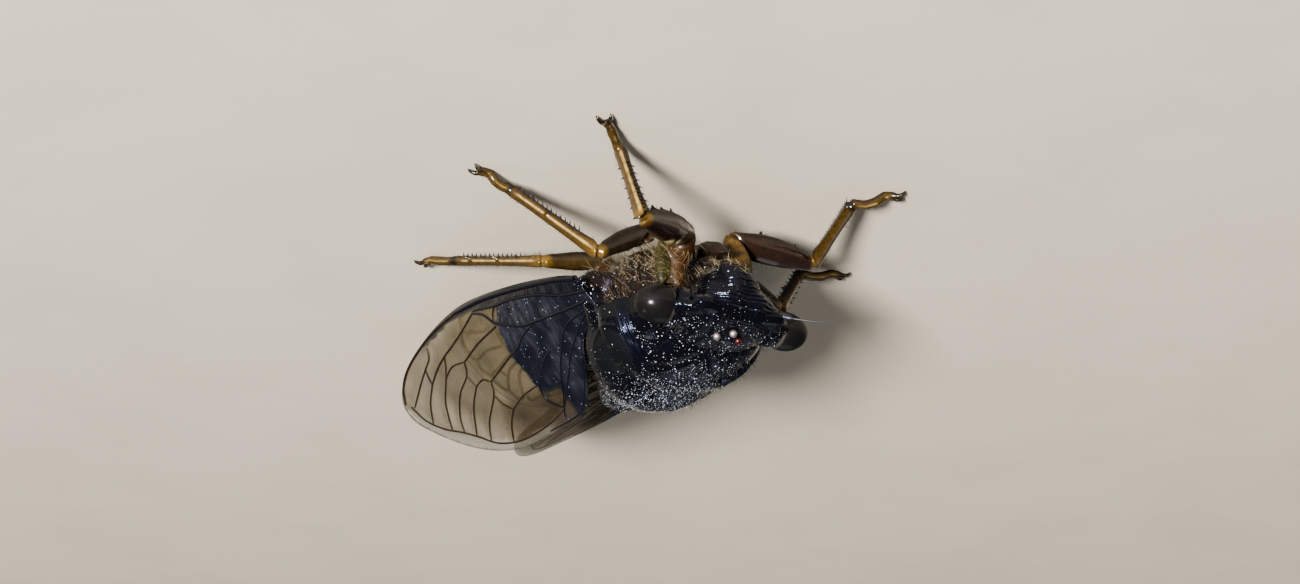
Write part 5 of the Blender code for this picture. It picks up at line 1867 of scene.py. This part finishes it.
# Radius of each vein and the places that it runs through, from the base outward
FOREWING_VEINS = (
    (RAIL, ((0.0, -1.55), (2.2, -1.95), (6.3, -2.42), (11.5, -2.82), (15.6, -2.88))),
    (STOUT, ((15.6, -2.88), (19.8, -2.42), (23.7, -1.5), (26.0, -0.45), (27.1, 0.6))),
    (STOUT, ((-0.6, -0.75), (2.1, -1.1), (4.7, -1.7), (7.8, -2.1), (10.0, -2.2), (13.0, -2.5))),
    (STOUT, ((0.2, -0.3), (3.0, -0.35), (6.2, -0.5), (7.8, -0.6), (9.9, -1.15), (10.8, -1.45), (11.8, -2.05),
             (13.2, -2.4))),
    (MIDDLE, ((10.1, -2.2), (10.6, -1.8), (10.7, -1.3))),
    (MIDDLE, ((13.2, -2.4), (15.2, -1.8), (17.2, -1.3), (18.6, -1.0), (20.3, -0.5), (22.1, 0.2))),
    (FINE, ((18.6, -1.0), (19.1, -0.4), (19.9, 0.2))),
    (FINE, ((20.7, -1.9), (20.8, -1.3), (21.9, -0.8), (23.8, 0.0), (26.1, 1.0))),
    (FINE, ((21.9, -0.8), (22.0, -0.3), (22.1, 0.2))),
    (FINE, ((22.1, 0.2), (23.8, 1.2), (25.0, 2.4))),
    (FINE, ((19.9, 0.2), (21.7, 1.4), (22.5, 2.3), (23.1, 3.2))),
    (FINE, ((19.9, 0.2), (18.3, -0.25), (16.5, -0.2))),
    (MIDDLE, ((6.2, -0.5), (8.3, -0.1), (9.7, 0.4), (10.9, 0.6), (13.2, 1.1), (15.0, 1.5))),
    (MIDDLE, ((10.7, -1.2), (13.7, -0.8), (16.0, -0.3), (16.5, -0.2))),
    (FINE, ((16.5, -0.2), (17.3, 0.6), (19.4, 1.4), (21.1, 2.6), (21.8, 3.6))),
    (FINE, ((17.3, 0.6), (17.0, 1.4))),
    (FINE, ((17.0, 1.4), (18.9, 2.5), (20.6, 4.1))),
    (FINE, ((17.0, 1.4), (15.8, 1.2), (15.0, 1.5))),
    (FINE, ((15.0, 1.5), (15.7, 2.3), (18.1, 3.6), (19.3, 4.7))),
    (FINE, ((15.7, 2.3), (15.3, 3.0), (14.6, 3.5))),
    (FINE, ((14.6, 3.5), (15.9, 4.3), (16.9, 5.3))),
    (FINE, ((14.6, 3.5), (12.6, 3.0), (10.6, 2.8))),
    (FINE, ((26.5, 0.9), (25.7, 2.0), (24.0, 2.95), (22.0, 3.6), (20.5, 4.2), (18.7, 5.0), (16.4, 5.35),
            (13.9, 5.3), (11.3, 5.0), (9.3, 4.6))),
    (MIDDLE, ((6.7, 1.3), (8.1, 1.7), (9.7, 2.5), (10.4, 3.1), (10.4, 3.8), (9.4, 4.5))),
    (MIDDLE, ((1.0, 0.1), (3.7, 0.5), (6.0, 1.8), (7.6, 3.0), (8.3, 3.7), (9.3, 4.5))),
    (MIDDLE, ((1.0, 0.3), (2.9, 1.0), (5.1, 2.0), (6.7, 3.0), (9.2, 4.5))),
    (FINE, ((1.0, 0.75), (3.2, 1.6), (4.8, 2.95), (6.5, 4.3), (8.4, 5.2), (12.3, 5.5))),
    (FINE, ((9.3, 4.55), (9.75, 5.0), (9.6, 5.5))),
)
HINDWING_VEINS = (
    (STOUT, ((2.8, -0.5), (6.0, -1.45), (11.5, -2.05), (15.9, -2.15), (16.7, -1.85), (16.9, -1.45),
             (15.7, -1.15), (14.1, -0.95), (12.8, -1.05), (8.0, -0.9), (3.6, -0.3))),
    (MIDDLE, ((16.9, -1.45), (17.5, -1.05), (17.5, -0.35), (17.1, 0.15), (15.2, -0.05), (13.0, 0.05),
              (8.0, -0.1), (3.6, -0.2))),
    (MIDDLE, ((17.1, 0.15), (17.2, 0.85), (16.5, 1.45))),
    (MIDDLE, ((3.7, 0.0), (8.0, 0.5), (12.8, 0.75), (15.4, 1.15), (16.5, 1.35), (16.7, 1.75))),
    (MIDDLE, ((3.8, 0.1), (9.0, 1.0), (13.4, 1.35), (14.9, 1.85), (15.8, 2.55), (16.4, 2.15), (16.7, 1.75))),
    (MIDDLE, ((4.0, 0.3), (9.0, 1.5), (13.2, 1.85), (14.8, 3.35), (15.6, 2.95), (15.8, 2.55))),
    (MIDDLE, ((14.2, 3.25), (14.1, 3.65), (12.7, 3.65), (11.7, 3.85), (10.3, 3.95), (8.9, 4.2))),
    (FINE, ((15.4, 1.15), (14.9, 1.85))),
    (FINE, ((12.8, -1.05), (13.0, 0.05), (12.8, 0.75))),
)


# Studio

@dataclass
class Studio:
    """Floor, lights and the camera at the photograph's place."""

    azimuth: float = 27.133
    elevation: float = 23.088
    roll: float = 181.232
    distance: float = 110.0
    aim: Place = (2.318, 6.0, 5.649)
    lens: float = 60.02
    lamp_aim: Place = (0.0, 8.0, 5.0)
    floor_half: float = 1.5
    sky: Colour = (0.95, 0.96, 1.0)
    sky_strength: float = 0.16

    def axes(self) -> tuple[Vector, Vector, Vector]:
        """Works out how the camera is turned.

        Returns:
            The camera's right, up and backward directions.
        """
        az, el, roll = (radians(a) for a in (self.azimuth, self.elevation, self.roll))
        back = Vector((sin(az) * cos(el), -cos(az) * cos(el), sin(el)))
        level = Vector((cos(az), sin(az), 0.0))
        rise = back.cross(level)
        return level * cos(roll) + rise * sin(roll), rise * cos(roll) - level * sin(roll), back

    def camera(self) -> None:
        """Sets the camera."""
        right, up, back = self.axes()
        data = bpy.data.cameras.new("camera")
        data.lens = self.lens
        data.sensor_width = 36.0
        data.clip_start = 0.005
        data.clip_end = 10.0
        camera = bpy.data.objects.new("camera", data)
        place = (Vector(at(*self.aim)) + back * self.distance) * MM
        camera.matrix_world = Matrix.Translation(place) @ Matrix((right, up, back)).transposed().to_4x4()
        bpy.context.scene.collection.objects.link(camera)
        bpy.context.scene.camera = camera

    def lamp(self, name: str, way: Vector, reach: float, size: float, power: float, colour: Colour) -> None:
        """A round soft light aimed at the insect.

        Args:
            name: its name.
            way: direction from the insect to the light.
            reach: distance in metres.
            size: its diameter in metres.
            power: its power in watts.
            colour: its colour.
        """
        data = bpy.data.lights.new(name, "AREA")
        data.shape = "DISK"
        data.size = size
        data.energy = power
        data.color = colour
        lamp = bpy.data.objects.new(name, data)
        way = way.normalized()
        lamp.location = Vector(at(*self.lamp_aim)) * MM + way * reach
        lamp.rotation_euler = way.to_track_quat("Z", "Y").to_euler()
        bpy.context.scene.collection.objects.link(lamp)

    def floor(self) -> None:
        """A plain pale floor."""
        half = self.floor_half
        corners = [(-half, -half, 0), (half, -half, 0), (half, half, 0), (-half, half, 0)]
        mesh = bpy.data.meshes.new("floor")
        mesh.from_pydata(corners, [], [(0, 1, 2, 3)])
        mesh.materials.append(FLOOR.material())
        floor = bpy.data.objects.new("floor", mesh)
        bpy.context.scene.collection.objects.link(floor)

    def build(self) -> None:
        """Sets up everything round the insect."""
        self.camera()
        self.floor()
        right, up, back = self.axes()
        self.lamp("key", back - right * 0.34 + up * 0.02, reach=0.40, size=0.075, power=5.0,
                  colour=(1.0, 0.97, 0.93))
        self.lamp("soft", back * 0.2 - right * 0.9 - up * 0.9, reach=0.6, size=0.14, power=0.22,
                  colour=(1.0, 0.98, 0.96))
        self.lamp("rim", Vector((-0.5, 0.6, 0.9)), reach=0.5, size=0.3, power=0.16, colour=(0.92, 0.96, 1.0))
        world = bpy.data.worlds.new("world")
        world.use_nodes = True
        background = world.node_tree.nodes["Background"]
        background.inputs["Color"].default_value = (*self.sky, 1.0)
        background.inputs["Strength"].default_value = self.sky_strength
        bpy.context.scene.view_settings.look = "AgX - Medium High Contrast"
        bpy.context.scene.world = world


def main() -> None:
    """Builds the insect and the studio."""
    logging.basicConfig(level=logging.INFO, format="%(name)s %(message)s")
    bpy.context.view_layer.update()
    Studio().build()
    Trunk().build()
    Head().build()
    Beak().build()
    for word, side in SIDES:
        for place in ("fore", "mid", "hind"):
            Leg(word, place).build()
        Wing(WingKind.FORE, word, side, FOREWING_EDGE, FOREWING_VEINS, depth=0.0, film=FILM).build()
        Wing(WingKind.HIND, word, side, HINDWING_EDGE, HINDWING_VEINS, depth=1.0, film=HIND_FILM,
             stout=1.35).build()


if __name__ == "__main__":
    main()
